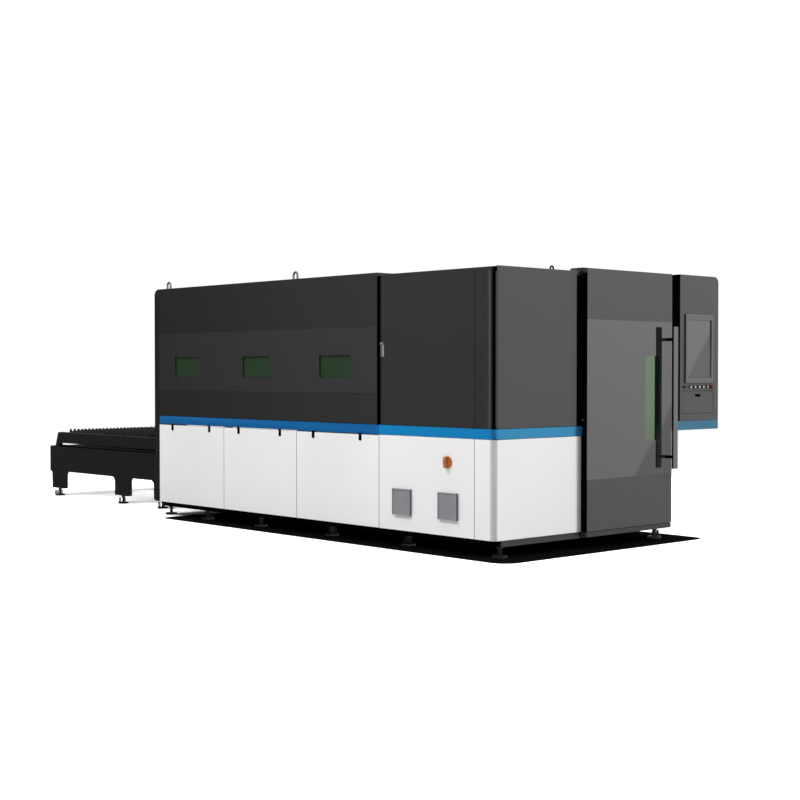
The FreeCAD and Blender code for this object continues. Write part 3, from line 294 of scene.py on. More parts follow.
# Green protective glass: the pitch of its fine dotted screen, a dot's share of a cell, how far a
# dot darkens the colour, and its haze
screened = {"pitch": 0.011, "dot": 0.07, "cover": 0.5, "dark": 0.2, "haze": (6.0, 3.0),
            "roughness": 0.075, "sheen": 0.05}


def laserGlass(name, colour, clear, ior, tint):
    def build(bench):
        axes, pitch = bench.axes(bench.place()), screened["pitch"]
        across = ((axes.also("X") + axes.also("Y")) % pitch) / pitch - 0.5
        upward = (axes.also("Z") % pitch) / pitch - 0.5
        dots = (across * across + upward * upward) < screened["dot"]
        dotColour = [c * screened["dark"] for c in colour]
        haze = bench.noise(*screened["haze"])
        return {"Base Color": bench.mixColour(dots * screened["cover"], colour, dotColour),
                "Roughness": bench.spread(screened["roughness"], haze, screened["sheen"])}

    return finish(name, build, Transmission_Weight=clear, IOR=ior, Specular_Tint=(*tint, 1))


# Slats burnt by the cuts above them: dark scale, heat tint and light spatter
burnt = {"scale": (30.0, 5.0), "scaleShare": 0.7, "spatter": (380.0, 2.0), "spatterFrom": 0.62,
         "spatterShare": 0.3, "dark": (0.012, 0.011, 0.011), "light": (0.09, 0.08, 0.075),
         "roughness": 0.6, "sheen": 0.3, "relief": 0.4, "height": 0.0008}


def burntSteel(name):
    def build(bench):
        scale, spatter = bench.noise(*burnt["scale"]), bench.noise(*burnt["spatter"])
        specks = (spatter > burnt["spatterFrom"]) * burnt["spatterShare"]
        mask = scale * burnt["scaleShare"] + specks
        return {"Base Color": bench.mixColour(mask, burnt["dark"], burnt["light"]),
                "Roughness": bench.spread(burnt["roughness"], scale, burnt["sheen"]),
                "Normal": bench.bump(spatter, burnt["relief"], burnt["height"])}

    return finish(name, build, Metallic=0.6)


def drift(axis, start, end, colour):
    # where a colour starts and ends: along X behind the front wall, along Y in from the near
    # wall, along Z above the floor
    base, way = {"X": (frontWall, -1), "Y": (nearWall, 1), "Z": (0, 1)}[axis]
    return axis, base + way * start, base + way * end, colour


nearBlack = (0.0010, 0.0010, 0.0011)
litPanelGrey = (0.0450, 0.0438, 0.0460)
panelWhite = (0.84, 0.826, 0.828)
# painted shade: the dark sides darken towards the rear
panelRearShade = drift("X", 5.6, 0.9, (0.0080, 0.0078, 0.0076))
# painted highlight: the side's strip by the corner turns lighter than the side from here on
ridgeHighlightEdge = drift("X", 0.088, 0.072, (0.0205, 0.0202, 0.0206))
# painted shade: near-black on the side's bend and on the front faces beside the corner, carrying the
# black chamfer over them
sideCornerShade = drift("X", 0.037, 0.050, nearBlack)
frontCornerShade = drift("Y", 0.016, 0.027, nearBlack)
lipDrift = drift("Y", 1.004, 0.998, nearBlack)
# painted shade: the gloss band darkens towards the rear
glossRearShade = drift("X", 5.6, 2.0, (0.025, 0.0245, 0.0255))
bandDrift = drift("X", 1.404, 1.402, (0.001, 0.098, 0.285))
# painted shade: the white panels darken towards the rear
whiteRearShade = drift("X", 2.2, 1.0, (0.80, 0.785, 0.79))
# painted shade: the corner cover's white greys towards the rounded corner
coverCornerShade = drift("X", 0.036, 0.068, (0.50, 0.495, 0.495))
# painted shade: the front's white and blue grey on their rolled ends by the door
whiteEndShade = drift("Y", 1.036, 0.976, (0.21, 0.205, 0.21))
blueEndShade = drift("Y", 1.008, 0.958, (0.002, 0.055, 0.14))
# painted shade: the door darkens towards the bottom
doorFootShade = drift("Z", 0.4, 2.0, (0.048, 0.0475, 0.050))
returnDrift = drift("Z", 2.360, 2.352, (0.032, 0.032, 0.033))

# painted light: the dark panel paint in two copies, a darker one for the sides, rear and roof and a
# lighter one for faces turned to the front
shadedPanelPaint = powderCoat("shadedPanelPaint", (0.0215, 0.0211, 0.0215), 0.36, drifts=[panelRearShade])
# painted highlight along the side's edge by the corner, which ends in painted shade at the corner
ridgeHighlightPaint = powderCoat("ridgeHighlightPaint", (0.045, 0.0445, 0.045), 0.36,
                        drifts=[ridgeHighlightEdge, sideCornerShade])
litPanelPaint = powderCoat("litPanelPaint", litPanelGrey, 0.36, drifts=[frontCornerShade])
lipPaint = powderCoat("lipPaint", litPanelGrey, 0.36, drifts=[frontCornerShade, lipDrift])
doorPaint = powderCoat("doorPaint", (0.054, 0.054, 0.0545), 0.34, drifts=[doorFootShade])
consolePaint = powderCoat("consolePaint", (0.057, 0.057, 0.0575), 0.36)
skirtPaint = powderCoat("skirtPaint", (0.020, 0.019, 0.020), 0.42)
hoodPaint = powderCoat("hoodPaint", (0.060, 0.060, 0.061), 0.36)
whitePaint = powderCoat("whitePaint", panelWhite, 0.38, 0.05, drifts=[whiteRearShade])
coverWhite = powderCoat("coverWhite", panelWhite, 0.38, 0.05, drifts=[coverCornerShade])
frontWhite = powderCoat("frontWhite", (0.86, 0.845, 0.855), 0.38, 0.05, drifts=[whiteEndShade])
# painted shade: a grey copy of the white for the corner's chamfer
shadedCornerWhite = powderCoat("shadedCornerWhite", (0.45, 0.445, 0.445), 0.38, 0.05)
bluePaint = powderCoat("bluePaint", (0.001, 0.187, 0.438), 0.32, 0.08, 0.35, [bandDrift])
frontBlue = powderCoat("frontBlue", (0.020, 0.230, 0.437), 0.32, 0.08, 0.35, [blueEndShade])
consoleBlue = powderCoat("consoleBlue", (0.034, 0.155, 0.255), 0.32, 0.08, 0.35)
# painted shade: a darker copy of the blue for the corner's chamfer
shadedCornerBlue = powderCoat("shadedCornerBlue", (0.001, 0.09, 0.26), 0.32, 0.08, 0.35)
blackPaint = powderCoat("blackPaint", nearBlack, 0.5, 0.08, 0.0)
returnPaint = powderCoat("returnPaint", nearBlack, 0.5, 0.08, 0.0, [returnDrift])
# painted shade: near-black without sheen for the base frame, the shade under the machine
baseShadePaint = powderCoat("baseShadePaint", (0.0022, 0.0022, 0.0023), 0.5, 0.08, 0.0)
framePaint = powderCoat("framePaint", (0.006, 0.006, 0.0062), 0.45, 0.08, 0.3)
tablePaint = powderCoat("tablePaint", (0.0075, 0.0075, 0.008), 0.45, 0.12, 0.2)
bedEnamel = powderCoat("bedEnamel", (0.30, 0.31, 0.32), 0.4, 0.2)
motorPaint = powderCoat("motorPaint", (0.05, 0.07, 0.10), 0.4, 0.2)
innerPaint = powderCoat("innerPaint", (0.36, 0.36, 0.37), 0.45)
headPaint = powderCoat("headPaint", (0.03, 0.03, 0.034), 0.3)
bandSheet = polishedSheet("bandSheet", (0.034, 0.033, 0.034), 1.5, [glossRearShade])
doorSheet = polishedSheet("doorSheet", (0.0165, 0.0165, 0.0175), 1.95)
screenSheet = polishedSheet("screenSheet", (0.028, 0.028, 0.029), 2.0)
sideGlass = laserGlass("sideGlass", (0.026, 0.050, 0.024), 0.1, 1.45, (1, 1, 1))
doorGlass = laserGlass("doorGlass", (0.004, 0.010, 0.004), 0.05, 2.4, (0.76, 1.0, 0.70))
handleSteel = brushed("handleSteel", (0.185, 0.185, 0.188), 0.32, 2)
railSteel = brushed("railSteel", (0.10, 0.10, 0.102), 0.35, 0)
groundSteel = brushed("groundSteel", (0.55, 0.55, 0.56), 0.25, 0)
turnedSteel = brushed("turnedSteel", (0.42, 0.42, 0.43), 0.3, 1)
machinedAluminium = brushed("machinedAluminium", (0.62, 0.63, 0.65), 0.34, 1)
anodisedCase = brushed("anodisedCase", (0.42, 0.43, 0.45), 0.4, 0)
chromePlate = plated("chromePlate", (0.8, 0.8, 0.82), 0.18)
zincPlate = plated("zincPlate", (0.30, 0.30, 0.31), 0.36)
blackZinc = plated("blackZinc", (0.03, 0.03, 0.032), 0.42)
copper = plated("copper", (0.72, 0.33, 0.17), 0.25)
slatSteel = burntSteel("slatSteel")
# black rubber for the window linings, and painted shade on the flanges and strip in the seams
gasketAndSeamShade = rubber("gasketAndSeamShade", (0.004, 0.004, 0.004))
rollerRubber = rubber("rollerRubber", (0.012, 0.012, 0.012))
orangePlastic = plastic("orangePlastic", (0.44, 0.13, 0.030), 0.4)
stopPlastic = plastic("stopPlastic", (0.12, 0.042, 0.005), 0.3, 0.05)
blackPlastic = plastic("blackPlastic", (0.006, 0.006, 0.0065), 0.4)
bezelPlastic = plastic("bezelPlastic", (0.115, 0.115, 0.117), 0.4)
bezelShade = plastic("bezelShade", (0.11, 0.11, 0.112), 0.4)
palePlastic = plastic("palePlastic", (0.48, 0.48, 0.49), 0.3, 0.05)
redPlastic = plastic("redPlastic", (0.030, 0.002, 0.002), 0.3, 0.05)
keyPlastic = plastic("keyPlastic", (0.03, 0.03, 0.032), 0.5)
ventPlastic = plastic("ventPlastic", (0.30, 0.295, 0.32), 0.5)
# a darker copy of the vent plastic: painted shade on the vent frames' sides; the filters take it too
ventEdge = plastic("ventEdge", (0.10, 0.10, 0.11), 0.5)
switchPlastic = plastic("switchPlastic", (0.075, 0.075, 0.076), 0.4)
ceramic = plastic("ceramic", (0.75, 0.74, 0.70), 0.3, 0.05)
print("finishes made:", len(bpy.data.materials))


def link(name, mesh):
    piece = bpy.data.objects.new(name, mesh)
    bpy.context.scene.collection.objects.link(piece)
    return piece


def shaped(name, bm):
    mesh = bpy.data.meshes.new(name)
    bm.to_mesh(mesh)
    bm.free()
    return link(name, mesh)


def settled(piece):
    # the evaluated shape as a plain mesh, with the modifiers gone
    depsgraph = bpy.context.evaluated_depsgraph_get()
    mesh = bpy.data.meshes.new_from_object(piece.evaluated_get(depsgraph), depsgraph=depsgraph)
    piece.modifiers.clear()
    piece.data = mesh
    return piece


def painted(piece, materials, pick=None):
    # one finish for each face, chosen by its centre and its normal
    piece.data.materials.clear()
    for material in materials:
        piece.data.materials.append(material)
    for face in piece.data.polygons:
        face.material_index = int(pick(face.center, face.normal)) if pick else 0
    return piece


def standing(piece, node):
    # the piece rides and is shown in place of the node
    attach(piece, bodyOfNode[node])
    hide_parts(node)
    return piece


def added(piece, node):
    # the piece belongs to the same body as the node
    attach(piece, bodyOfNode[node])
    return piece


def boxes(name, corners):
    # a piece made of boxes, each between its lowest and highest corner
    bm = bmesh.new()
    for low, high in corners:
        low, high = Vector(low), Vector(high)
        spread = Matrix.Diagonal((*(high - low), 1))
        bmesh.ops.create_cube(bm, size=1, matrix=Matrix.Translation((low + high) / 2) @ spread)
    return shaped(name, bm)


# Rounding of outer edges: the angles in degrees from which an edge is sharp and below which faces
# lie flat, the angle in radians from which a bend may be wide, the share of a strip and of the
# radius that a rounding takes at most and at least, its steps, the distances that weld corners and
# drop slivers, a gap wider than any, and how far past an edge's ends a corner still faces it
easing = {"sharpAngle": 28.0, "flatAngle": 0.7, "bendAngle": 0.2, "share": 0.38, "least": 0.2,
          "segments": 3, "weld": 0.00001, "sliver": 0.000005, "far": 9.0, "past": 0.001}


def welded(node):
    # a copy of a node's mesh, in which its triangles share their corners
    bm = bmesh.new()
    bm.from_mesh(nodes[node].data)
    bmesh.ops.remove_doubles(bm, verts=bm.verts, dist=easing["weld"])
    return bm


def reached(first, seen, neighbours):
    # all that can be reached from the first one by way of neighbours
    found, waiting = [], [first]
    while waiting:
        one = waiting.pop()
        if one not in seen:
            seen.add(one)
            found.append(one)
            waiting.extend(neighbours(one))
    return found


def groups(things, neighbours):
    seen = set()
    for first in things:
        if first not in seen:
            yield reached(first, seen, neighbours)


def edgeAngles(bm):
    return {e: e.calc_face_angle_signed(0) for e in bm.edges if len(e.link_faces) == 2}


def flatRegions(bm, angles):
    # each flat stretch: its faces and its border edges
    flat = math.radians(easing["flatAngle"])
    borders = {e for e in bm.edges if abs(angles.get(e, math.pi)) > flat}

    def level(face):
        return [f for e in face.edges if e not in borders for f in e.link_faces]

    for faces in groups(bm.faces, level):
        yield faces, {e for face in faces for e in face.edges if e in borders}


def isOneOutline(border):
    # whether the border edges make a single closed line, with no hole inside it
    around = {}
    for edge in border:
        for vertex in edge.verts:
            around.setdefault(vertex, []).append(edge)
    line = reached(next(iter(border)), set(), lambda edge: [e for v in edge.verts for e in around[v]])
    return len(line) == len(border) and all(len(edges) == 2 for edges in around.values())


def flattened(bm):
    # a flat stretch with one outline becomes one face, and one with holes stays in triangles
    inner = []
    for faces, border in flatRegions(bm, edgeAngles(bm)):
        if len(faces) > 1 and isOneOutline(border):
            inner += {e for face in faces for e in face.edges} - border
    bmesh.ops.dissolve_edges(bm, edges=inner, use_verts=False, use_face_split=False)


def gapsAcross(border):
    # how far it is from each edge of a flat stretch to what lies across from it
    corners = {v for edge in border for v in edge.verts}
    gaps, nearest = dict.fromkeys(border, easing["far"]), dict.fromkeys(corners, easing["far"])
    for edge in border:
        start = edge.verts[0].co
        run = edge.verts[1].co - start
        span = max(run.length_squared, 1e-12)
        for corner in corners:
            reach = corner.co - start
            share = reach.dot(run) / span
            if -easing["past"] < share < 1 + easing["past"] and corner not in edge.verts:
                gap = (reach - run * share).length
                gaps[edge] = min(gaps[edge], gap)
                nearest[corner] = min(nearest[corner], gap)
    for edge in border:
        gaps[edge] = min(gaps[edge], *(nearest[v] for v in edge.verts))
    return gaps


def evened(widths):
    # the rounded edges of one rim share the least of their widths

    def nextOnRim(edge):
        meeting = [[e for e in vertex.link_edges if e in widths] for vertex in edge.verts]
        return [e for joined in meeting if len(joined) == 2 for e in joined]

    for rim in groups(list(widths), nextOnRim):
        least = min(widths[e] for e in rim)
        widths.update(dict.fromkeys(rim, least))


def roundings(bm, radius, bend):
    # how wide each sharp outer edge is rounded; bend gives the width of the edges that it names
    angles, gaps = edgeAngles(bm), {}
    for faces, border in flatRegions(bm, angles):
        for edge, gap in gapsAcross(border).items():
            gaps[edge] = min(gap, gaps.get(edge, easing["far"]))
    sharp = math.radians(easing["sharpAngle"])
    widths, bends = {}, {}
    for edge, angle in angles.items():
        wide = bend(*[v.co for v in edge.verts]) if bend and angle > easing["bendAngle"] else None
        if wide:
            bends[edge] = wide
        elif angle > sharp:
            widths[edge] = min(radius, easing["share"] * gaps[edge])
    evened(widths)
    kept = {e: w for e, w in widths.items() if w > easing["least"] * radius}
    kept.update(bends)
    for edge, angle in angles.items():
        if abs(angle) > sharp and edge not in kept:
            edge.smooth = False
    return kept


def eased(node, radius, materials, pick=None, bend=None):
    # the same shape with its outer edges rounded, which stands for the node
    bm = welded(node)
    bmesh.ops.dissolve_degenerate(bm, edges=bm.edges, dist=easing["sliver"])
    flattened(bm)
    for face in bm.faces:
        face.smooth = True
    weight = bm.edges.layers.float.new("bevel_weight_edge")
    rounds = roundings(bm, radius, bend)
    largest = max(rounds.values(), default=radius)
    for edge, wanted in rounds.items():
        edge[weight] = wanted / largest
    piece = shaped(node + "_eased", bm)
    bevel = piece.modifiers.new("bevel", "BEVEL")
    bevel.width = largest
    bevel.segments = easing["segments"]
    bevel.limit_method = "WEIGHT"
    bevel.use_clamp_overlap = False
    bevel.loop_slide = False
    flat = piece.modifiers.new("flat", "WEIGHTED_NORMAL")
    flat.keep_sharp = True
    return standing(painted(settled(piece), materials, pick), node)


def smoothed(piece, angle=35.0):
    for face in piece.data.polygons:
        face.use_smooth = True
    piece.data.set_sharp_from_angle(angle=math.radians(angle))
    return piece


def solidsOf(node):
    # the corners of the box round each separate solid of a node
    bm, found = welded(node), []
    for vertices in groups(bm.verts, lambda v: [e.other_vert(v) for e in v.link_edges]):
        axes = list(zip(*(v.co for v in vertices)))
        found.append((Vector([min(a) for a in axes]), Vector([max(a) for a in axes])))
    bm.free()
    return found


socketKinds = {int: "NodeSocketInt", float: "NodeSocketFloat"}


def shapeTree(name, defaults, build):
    # a Geometry Nodes tree with named inputs, which ends in real geometry with its finish
    tree = bpy.data.node_groups.new(name, "GeometryNodeTree")
    bench = Bench(tree)
    for way in ("INPUT", "OUTPUT"):
        tree.interface.new_socket("Geometry", in_out=way, socket_type="NodeSocketGeometry")
    for key, value in defaults.items():
        made = tree.interface.new_socket(key, in_out="INPUT", socket_type=socketKinds[type(value)])
        made.default_value = value
    tree.interface.new_socket("Finish", in_out="INPUT", socket_type="NodeSocketMaterial")
    entry = bench.node("NodeGroupInput")
    shape = build(bench, entry, {key: entry.also(key) for key in defaults})
    real = bench.node("GeometryNodeRealizeInstances", None, {"Geometry": shape})
    done = bench.node("GeometryNodeSetMaterial", None,
                      {"Geometry": real, "Material": entry.also("Finish")})
    bench.node("NodeGroupOutput", None, {"Geometry": done})
    return tree


def grown(name, tree, points, material, values=None):
    # runs a tree on a set of points, each with the way that it faces
    mesh = bpy.data.meshes.new(name)
    mesh.from_pydata([tuple(place) for place, aim in points], [], [])
    aims = mesh.attributes.new("aim", "FLOAT_VECTOR", "POINT")
    for i, (place, aim) in enumerate(points):
        aims.data[i].vector = aim
    piece = link(name, mesh)
    modifier = piece.modifiers.new("shape", "NODES")
    modifier.node_group = tree
    sockets = {item.name: item.identifier for item in tree.interface.items_tree
               if item.in_out == "INPUT"}
    for key, value in {**(values or {}), "Finish": material}.items():
        modifier[sockets[key]] = value
    return smoothed(settled(piece))


def extruded(bench, mesh, selection, offset):
    values = {"Mesh": mesh, "Offset Scale": offset, "Individual": False}
    if selection:
        values["Selection"] = selection
    return bench.node("GeometryNodeExtrudeMesh", {"mode": "FACES"}, values)


def rescaled(bench, mesh, selection, share):
    return bench.node("GeometryNodeScaleElements", {"domain": "FACE"},
                      {"Geometry": mesh, "Selection": selection, "Scale": share})


def transformed(bench, mesh, rotation):
    return bench.node("GeometryNodeTransform", None, {"Geometry": mesh, "Rotation": rotation})


def instanced(bench, points, instance):
    return bench.node("GeometryNodeInstanceOnPoints", None, {"Points": points, "Instance": instance})


def aimed(bench, points, instance):
    # puts the instance on every point, turned so that its top faces along the aim
    aim = bench.node("GeometryNodeInputNamedAttribute", {"data_type": "FLOAT_VECTOR"},
                     {"Name": "aim"})
    turn = bench.node("FunctionNodeAlignRotationToVector", {"axis": "Z"}, {"Vector": aim})
    return bench.node("GeometryNodeInstanceOnPoints", None,
                      {"Points": points, "Instance": instance, "Rotation": turn})


def screwShape(bench, entry, size):
    disc = bench.node("GeometryNodeMeshCircle", {"fill_type": "NGON"},
                      {"Vertices": size["Sides"], "Radius": size["Radius"]})
    wall = extruded(bench, disc, None, size["Height"] * size["Wall"])
    slope = extruded(bench, wall, wall.also("Top"), size["Height"] * size["Slope"])
    crown = rescaled(bench, slope, slope.also("Top"), size["Crown"])
    lip = extruded(bench, crown, slope.also("Top"), 0.0)
    rim = rescaled(bench, lip, lip.also("Top"), size["Socket"])
    well = extruded(bench, rim, lip.also("Top"), size["Height"] * size["Depth"] * -1)
    return aimed(bench, entry, well)


def threadShape(bench, entry, size):
    coil = bench.node("GeometryNodeCurveSpiral", None,
                      {"Resolution": size["Steps"], "Rotations": size["Length"] / size["Pitch"],
                       "Start Radius": size["Radius"], "End Radius": size["Radius"],
                       "Height": size["Length"]})
    section = bench.node("GeometryNodeCurvePrimitiveCircle", {"mode": "RADIUS"},
                         {"Resolution": size["Sides"], "Radius": size["Pitch"] * size["Ridge"]})
    ridge = bench.node("GeometryNodeCurveToMesh", None,
                       {"Curve": coil, "Profile Curve": section, "Fill Caps": True})
    return aimed(bench, entry, ridge)


def keyShape(bench, entry, size):
    face = bench.node("GeometryNodeMeshGrid", None,
                      {"Size X": size["Width"], "Size Y": size["Depth"], "Vertices X": 2,
                       "Vertices Y": 2})
    raised = extruded(bench, face, None, size["Height"])
    return aimed(bench, entry, rescaled(bench, raised, raised.also("Top"), size["Crown"]))


def rowShape(bench, entry, size):
    # a row of thin plates, each tilted, that starts at every point and climbs along Z
    block = bench.vector(X=size["Width"], Y=size["Depth"], Z=size["Thickness"])
    plate = bench.node("GeometryNodeMeshCube", None, {"Size": block})
    tilted = transformed(bench, plate, bench.vector(X=size["Tilt"]))
    line = bench.node("GeometryNodeMeshLine", None,
                      {"Count": size["Count"], "Offset": bench.vector(Z=size["Pitch"])})
    return instanced(bench, entry, instanced(bench, line, tilted))


def slatShape(bench, entry, size):
    # one toothed slat, worn by cutting, repeated along the pallet
    sheet = bench.node("GeometryNodeMeshGrid", None,
                       {"Size X": size["Length"], "Size Y": size["Height"],
                        "Vertices X": size["Teeth"] * 4 + 1, "Vertices Y": 2})
    index = bench.node("GeometryNodeInputIndex")
    upper = index % 2
    phase = ((index - upper) / 2) % 4
    valley = (phase < 0.5) + (phase > 2.5)
    wear = bench.node("FunctionNodeRandomValue", {"data_type": "FLOAT"},
                      {"Min": 0.0, "Max": size["Wear"], "ID": index, "Seed": size["Seed"]})
    drop = upper * (valley * size["Tooth"] + wear) * -1
    cut = bench.node("GeometryNodeSetPosition", None,
                     {"Geometry": sheet, "Offset": bench.vector(Y=drop)})
    thick = extruded(bench, cut, None, size["Thickness"])
    back = bench.node("GeometryNodeFlipFaces", None, {"Mesh": cut})
    whole = bench.node("GeometryNodeJoinGeometry")
    for part in (back, thick):
        bench.tree.links.new(part.socket, whole.socket.node.inputs[0])
    closed = bench.node("GeometryNodeMergeByDistance", None,
                        {"Geometry": whole, "Distance": size["Weld"]})
    return instanced(bench, entry, transformed(bench, closed, (math.pi / 2, 0, math.pi / 2)))


screwTree = shapeTree("screwTree", {"Radius": 0.006, "Height": 0.004, "Sides": 20, "Wall": 0.6,
                                    "Slope": 0.4, "Crown": 0.82, "Socket": 0.6,
                                    "Depth": 0.5}, screwShape)
threadTree = shapeTree("threadTree", {"Radius": 0.014, "Length": 0.05, "Pitch": 0.003,
                                      "Ridge": 0.34, "Steps": 20, "Sides": 5}, threadShape)
keyTree = shapeTree("keyTree", {"Width": 0.02, "Depth": 0.018, "Height": 0.004, "Crown": 0.8},
                    keyShape)
rowTree = shapeTree("rowTree", {"Width": 0.1, "Depth": 0.02, "Thickness": 0.002, "Tilt": 0.5,
                                "Count": 10, "Pitch": 0.01}, rowShape)
slatTree = shapeTree("slatTree", {"Length": 1.4, "Height": 0.1, "Teeth": 28, "Tooth": 0.025,
                                  "Thickness": 0.006, "Wear": 0.006, "Weld": 0.00005, "Seed": 7},
                     slatShape)
print("shape trees made")

# Sheet panels: how far their edges are rounded, how deep their flanges reach behind the outer
# face, and how much of a flange still shows its paint
panel = {"skin": 0.003, "trim": 0.0015, "flange": 0.031, "shown": 0.004}

# Corner cover: how far it reaches back and across, how far its faces turn from both walls, the
# widths of its two upright bends, of which the side one lies between two depths, and how far an
# upright edge may lean
cornerCover = {"depth": 0.060, "across": 0.026, "turned": 0.1, "sideBend": 0.024,
               "frontBend": 0.009, "bendFrom": 0.02, "bendTo": 0.05, "upright": 0.001}


def cornerBend(start, end):
    # the two upright bends of the corner cover are wider than the other edges
    upright = cornerCover["upright"]
    if abs(start.x - end.x) > upright or abs(start.y - end.y) > upright:
        return None
    depth, across = frontWall - start.x, start.y - nearWall
    if across < upright and cornerCover["bendFrom"] < depth < cornerCover["bendTo"]:
        return cornerCover["sideBend"]
    return cornerCover["frontBend"] if depth < upright and across < cornerCover["across"] else None


# the chamfer faces at the corner, painted as shade by their callers: black in the dark section, grey in
# the white and dark blue in the band
def onCorner(centre, normal):
    depth, across = frontWall - centre.x, centre.y - nearWall
    near = depth < cornerCover["depth"] and across < cornerCover["across"]
    return near and normal.x > cornerCover["turned"] and normal.y < -cornerCover["turned"]


def inSeam(centre, normal):
    # the return flanges that face each other across the seams, which callers paint black as the seams'
    # shade
    flange, shown = panel["flange"], panel["shown"]
    if centre.x > frontWall - flange:
        hidden = centre.x < frontWall - shown and centre.y > nearWall + flange
        return abs(normal.x) < 0.05 and hidden
    deep = min(centre.y - nearWall, farWall - centre.y)
    return abs(normal.y) < 0.5 and deep > shown or abs(normal.x) > 0.4


# Openings of the near windows: the heights between which their edges are lined, and the depths
# at which the lining starts and ends
windowLining = {"low": 1.45, "high": 1.67, "from": 0.0003, "to": 0.02}


def makeLongSides():
    skin, trim = panel["skin"], panel["trim"]
    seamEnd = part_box("near_upper_panel")[1].x - panel["shown"]

    # the panel's returns facing the front, at the seam by the cabinet, are painted black as the seam's
    # shade
    def nearTone(centre, normal):
        if centre.x > seamEnd and normal.x > 0.5:
            return 2
        inside = windowLining["low"] < centre.z < windowLining["high"] and abs(normal.y) < 0.5
        return inside and windowLining["from"] < centre.y - nearWall < windowLining["to"]

    eased("near_upper_panel", skin, [shadedPanelPaint, gasketAndSeamShade, blackPaint], nearTone)
    eased("near_gloss_panel", trim, [bandSheet])
    eased("near_windows", trim, [sideGlass])
    eased("far_upper_panels", skin, [shadedPanelPaint])
    eased("far_lower_panels", skin, [whitePaint, gasketAndSeamShade], inSeam)
    eased("rear_panels", skin, [shadedPanelPaint])


# Dark strip behind the seam under the near upper panel, put there as the seam's shade: depths behind
# the outer face, how far it reaches under and over the seam, and how far it stays from the ends
seamShadeStrip = {"front": 0.0302, "back": 0.0332, "below": 0.008, "above": 0.006, "end": 0.004}


def makeSeamShadeStrip():
    low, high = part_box("near_upper_panel")
    strip = ((low.x + seamShadeStrip["end"], nearWall + seamShadeStrip["front"], low.z - seamShadeStrip["below"]),
             (high.x - seamShadeStrip["end"], nearWall + seamShadeStrip["back"], low.z + seamShadeStrip["above"]))
    added(painted(boxes("seam_shade_strip", [strip]), [gasketAndSeamShade]), "near_upper_panel")


# Strips that close the seams under the roof lip, just behind the outer faces: how far they reach
# under and over a seam, their depths, and how far they stay from the rear, the ends and the corner
roofTrim = {"below": 0.004, "above": 0.0065, "front": 0.0006, "back": 0.0022, "rear": 0.1,
            "end": 0.006, "cornerDepth": 0.042, "cornerAcross": 0.024}


def makeRoofTrims():
    main, cabinet, front = [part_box(name) for name in
                            ("near_upper_panel", "cabinet_door_upper", "front_upper_panels")]
    shallow, deep, end = roofTrim["front"], roofTrim["back"], roofTrim["end"]
    near = (nearWall + shallow, nearWall + deep)
    strips = [((main[0].x + roofTrim["rear"], main[1].x - end), near, main[1].z),
              ((cabinet[0].x + end, frontWall - roofTrim["cornerDepth"]), near, front[1].z),
              ((frontWall - deep, frontWall - shallow),
               (nearWall + roofTrim["cornerAcross"], front[1].y - end), front[1].z)]
    trims = boxes("roof_trims", [((x[0], y[0], seam - roofTrim["below"]),
                                  (x[1], y[1], seam + roofTrim["above"])) for x, y, seam in strips])
    painted(trims, [shadedPanelPaint, lipPaint], lambda centre, normal: centre.x > frontWall - 0.01)
    added(trims, "roof_panels")


# Where finishes change at the front: depths behind the front wall for the roof and the base, the
# lean of a white face, how far in from the near wall the side's faces lie, and how far short of
# the door surround's edge the console's blue starts
frontReach = {"roof": 0.01, "base": 0.031, "white": 0.15, "side": 0.002, "console": 0.02}


def makeFrontPanels():
    skin = panel["skin"]

    def roofTone(centre, normal):
        if onCorner(centre, normal):
            return 2
        return normal.x > 0.5 and centre.x > frontWall - frontReach["roof"]

    def upperTone(centre, normal):
        if onCorner(centre, normal):
            return 1
        return 2 if centre.y < nearWall + frontReach["side"] else 0

    def lowerTone(centre, normal):
        if onCorner(centre, normal):
            return 1
        if inSeam(centre, normal):
            return 2
        return 3 if normal.x > frontReach["white"] else 0

    eased("roof_panels", skin, [shadedPanelPaint, lipPaint, blackPaint], roofTone, cornerBend)
    eased("front_upper_panels", skin, [litPanelPaint, blackPaint, ridgeHighlightPaint], upperTone, cornerBend)
    eased("front_lower_panels", skin, [coverWhite, shadedCornerWhite, gasketAndSeamShade, frontWhite],
          lowerTone, cornerBend)
    # the base frame is painted near-black as the shade under the machine, save its front skirt
    eased("base_frame", 0.004, [baseShadePaint, skirtPaint],
          lambda centre, normal: centre.x > frontWall - frontReach["base"])
    eased("enclosure_frame", 0.004, [framePaint])


def makeBlueBands():
    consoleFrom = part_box("door_surround")[1].y - frontReach["console"]

    def bandTone(centre, normal):
        if onCorner(centre, normal):
            return 1
        if normal.x < 0.5:
            return 0
        return 3 if centre.y > consoleFrom else 2

    eased("blue_bands", panel["skin"], [bluePaint, shadedCornerBlue, frontBlue, consoleBlue], bandTone,
          cornerBend)


# Flaps and hinges: a flap's face this far out of the skin belongs to its hinges, and the door
# hinges are blue between two heights above the band's lower edge
leaf = {"proud": 0.0002, "bandHeight": 0.09, "bandEdge": 0.004}


def makeLeaves():
    skin = panel["skin"]

    def flapTone(centre, normal):
        if centre.y < nearWall - leaf["proud"]:
            return 1
        return 2 if inSeam(centre, normal) else 0

    for i in (1, 2, 3):
        eased("service_flap_%d" % i, skin, [whitePaint, blackPaint, gasketAndSeamShade], flapTone)
    # the upper cabinet door's returns facing the rear are painted black as the seam's shade
    eased("cabinet_door_upper", skin, [shadedPanelPaint, blackPaint],
          lambda centre, normal: normal.x < -0.5)
    eased("cabinet_door_lower", skin, [whitePaint, gasketAndSeamShade], inSeam)
    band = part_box("blue_bands")[0].z
    eased("hinges", 0.001, [blackPaint, bluePaint],
          lambda centre, normal: leaf["bandEdge"] < centre.z - band < leaf["bandHeight"])


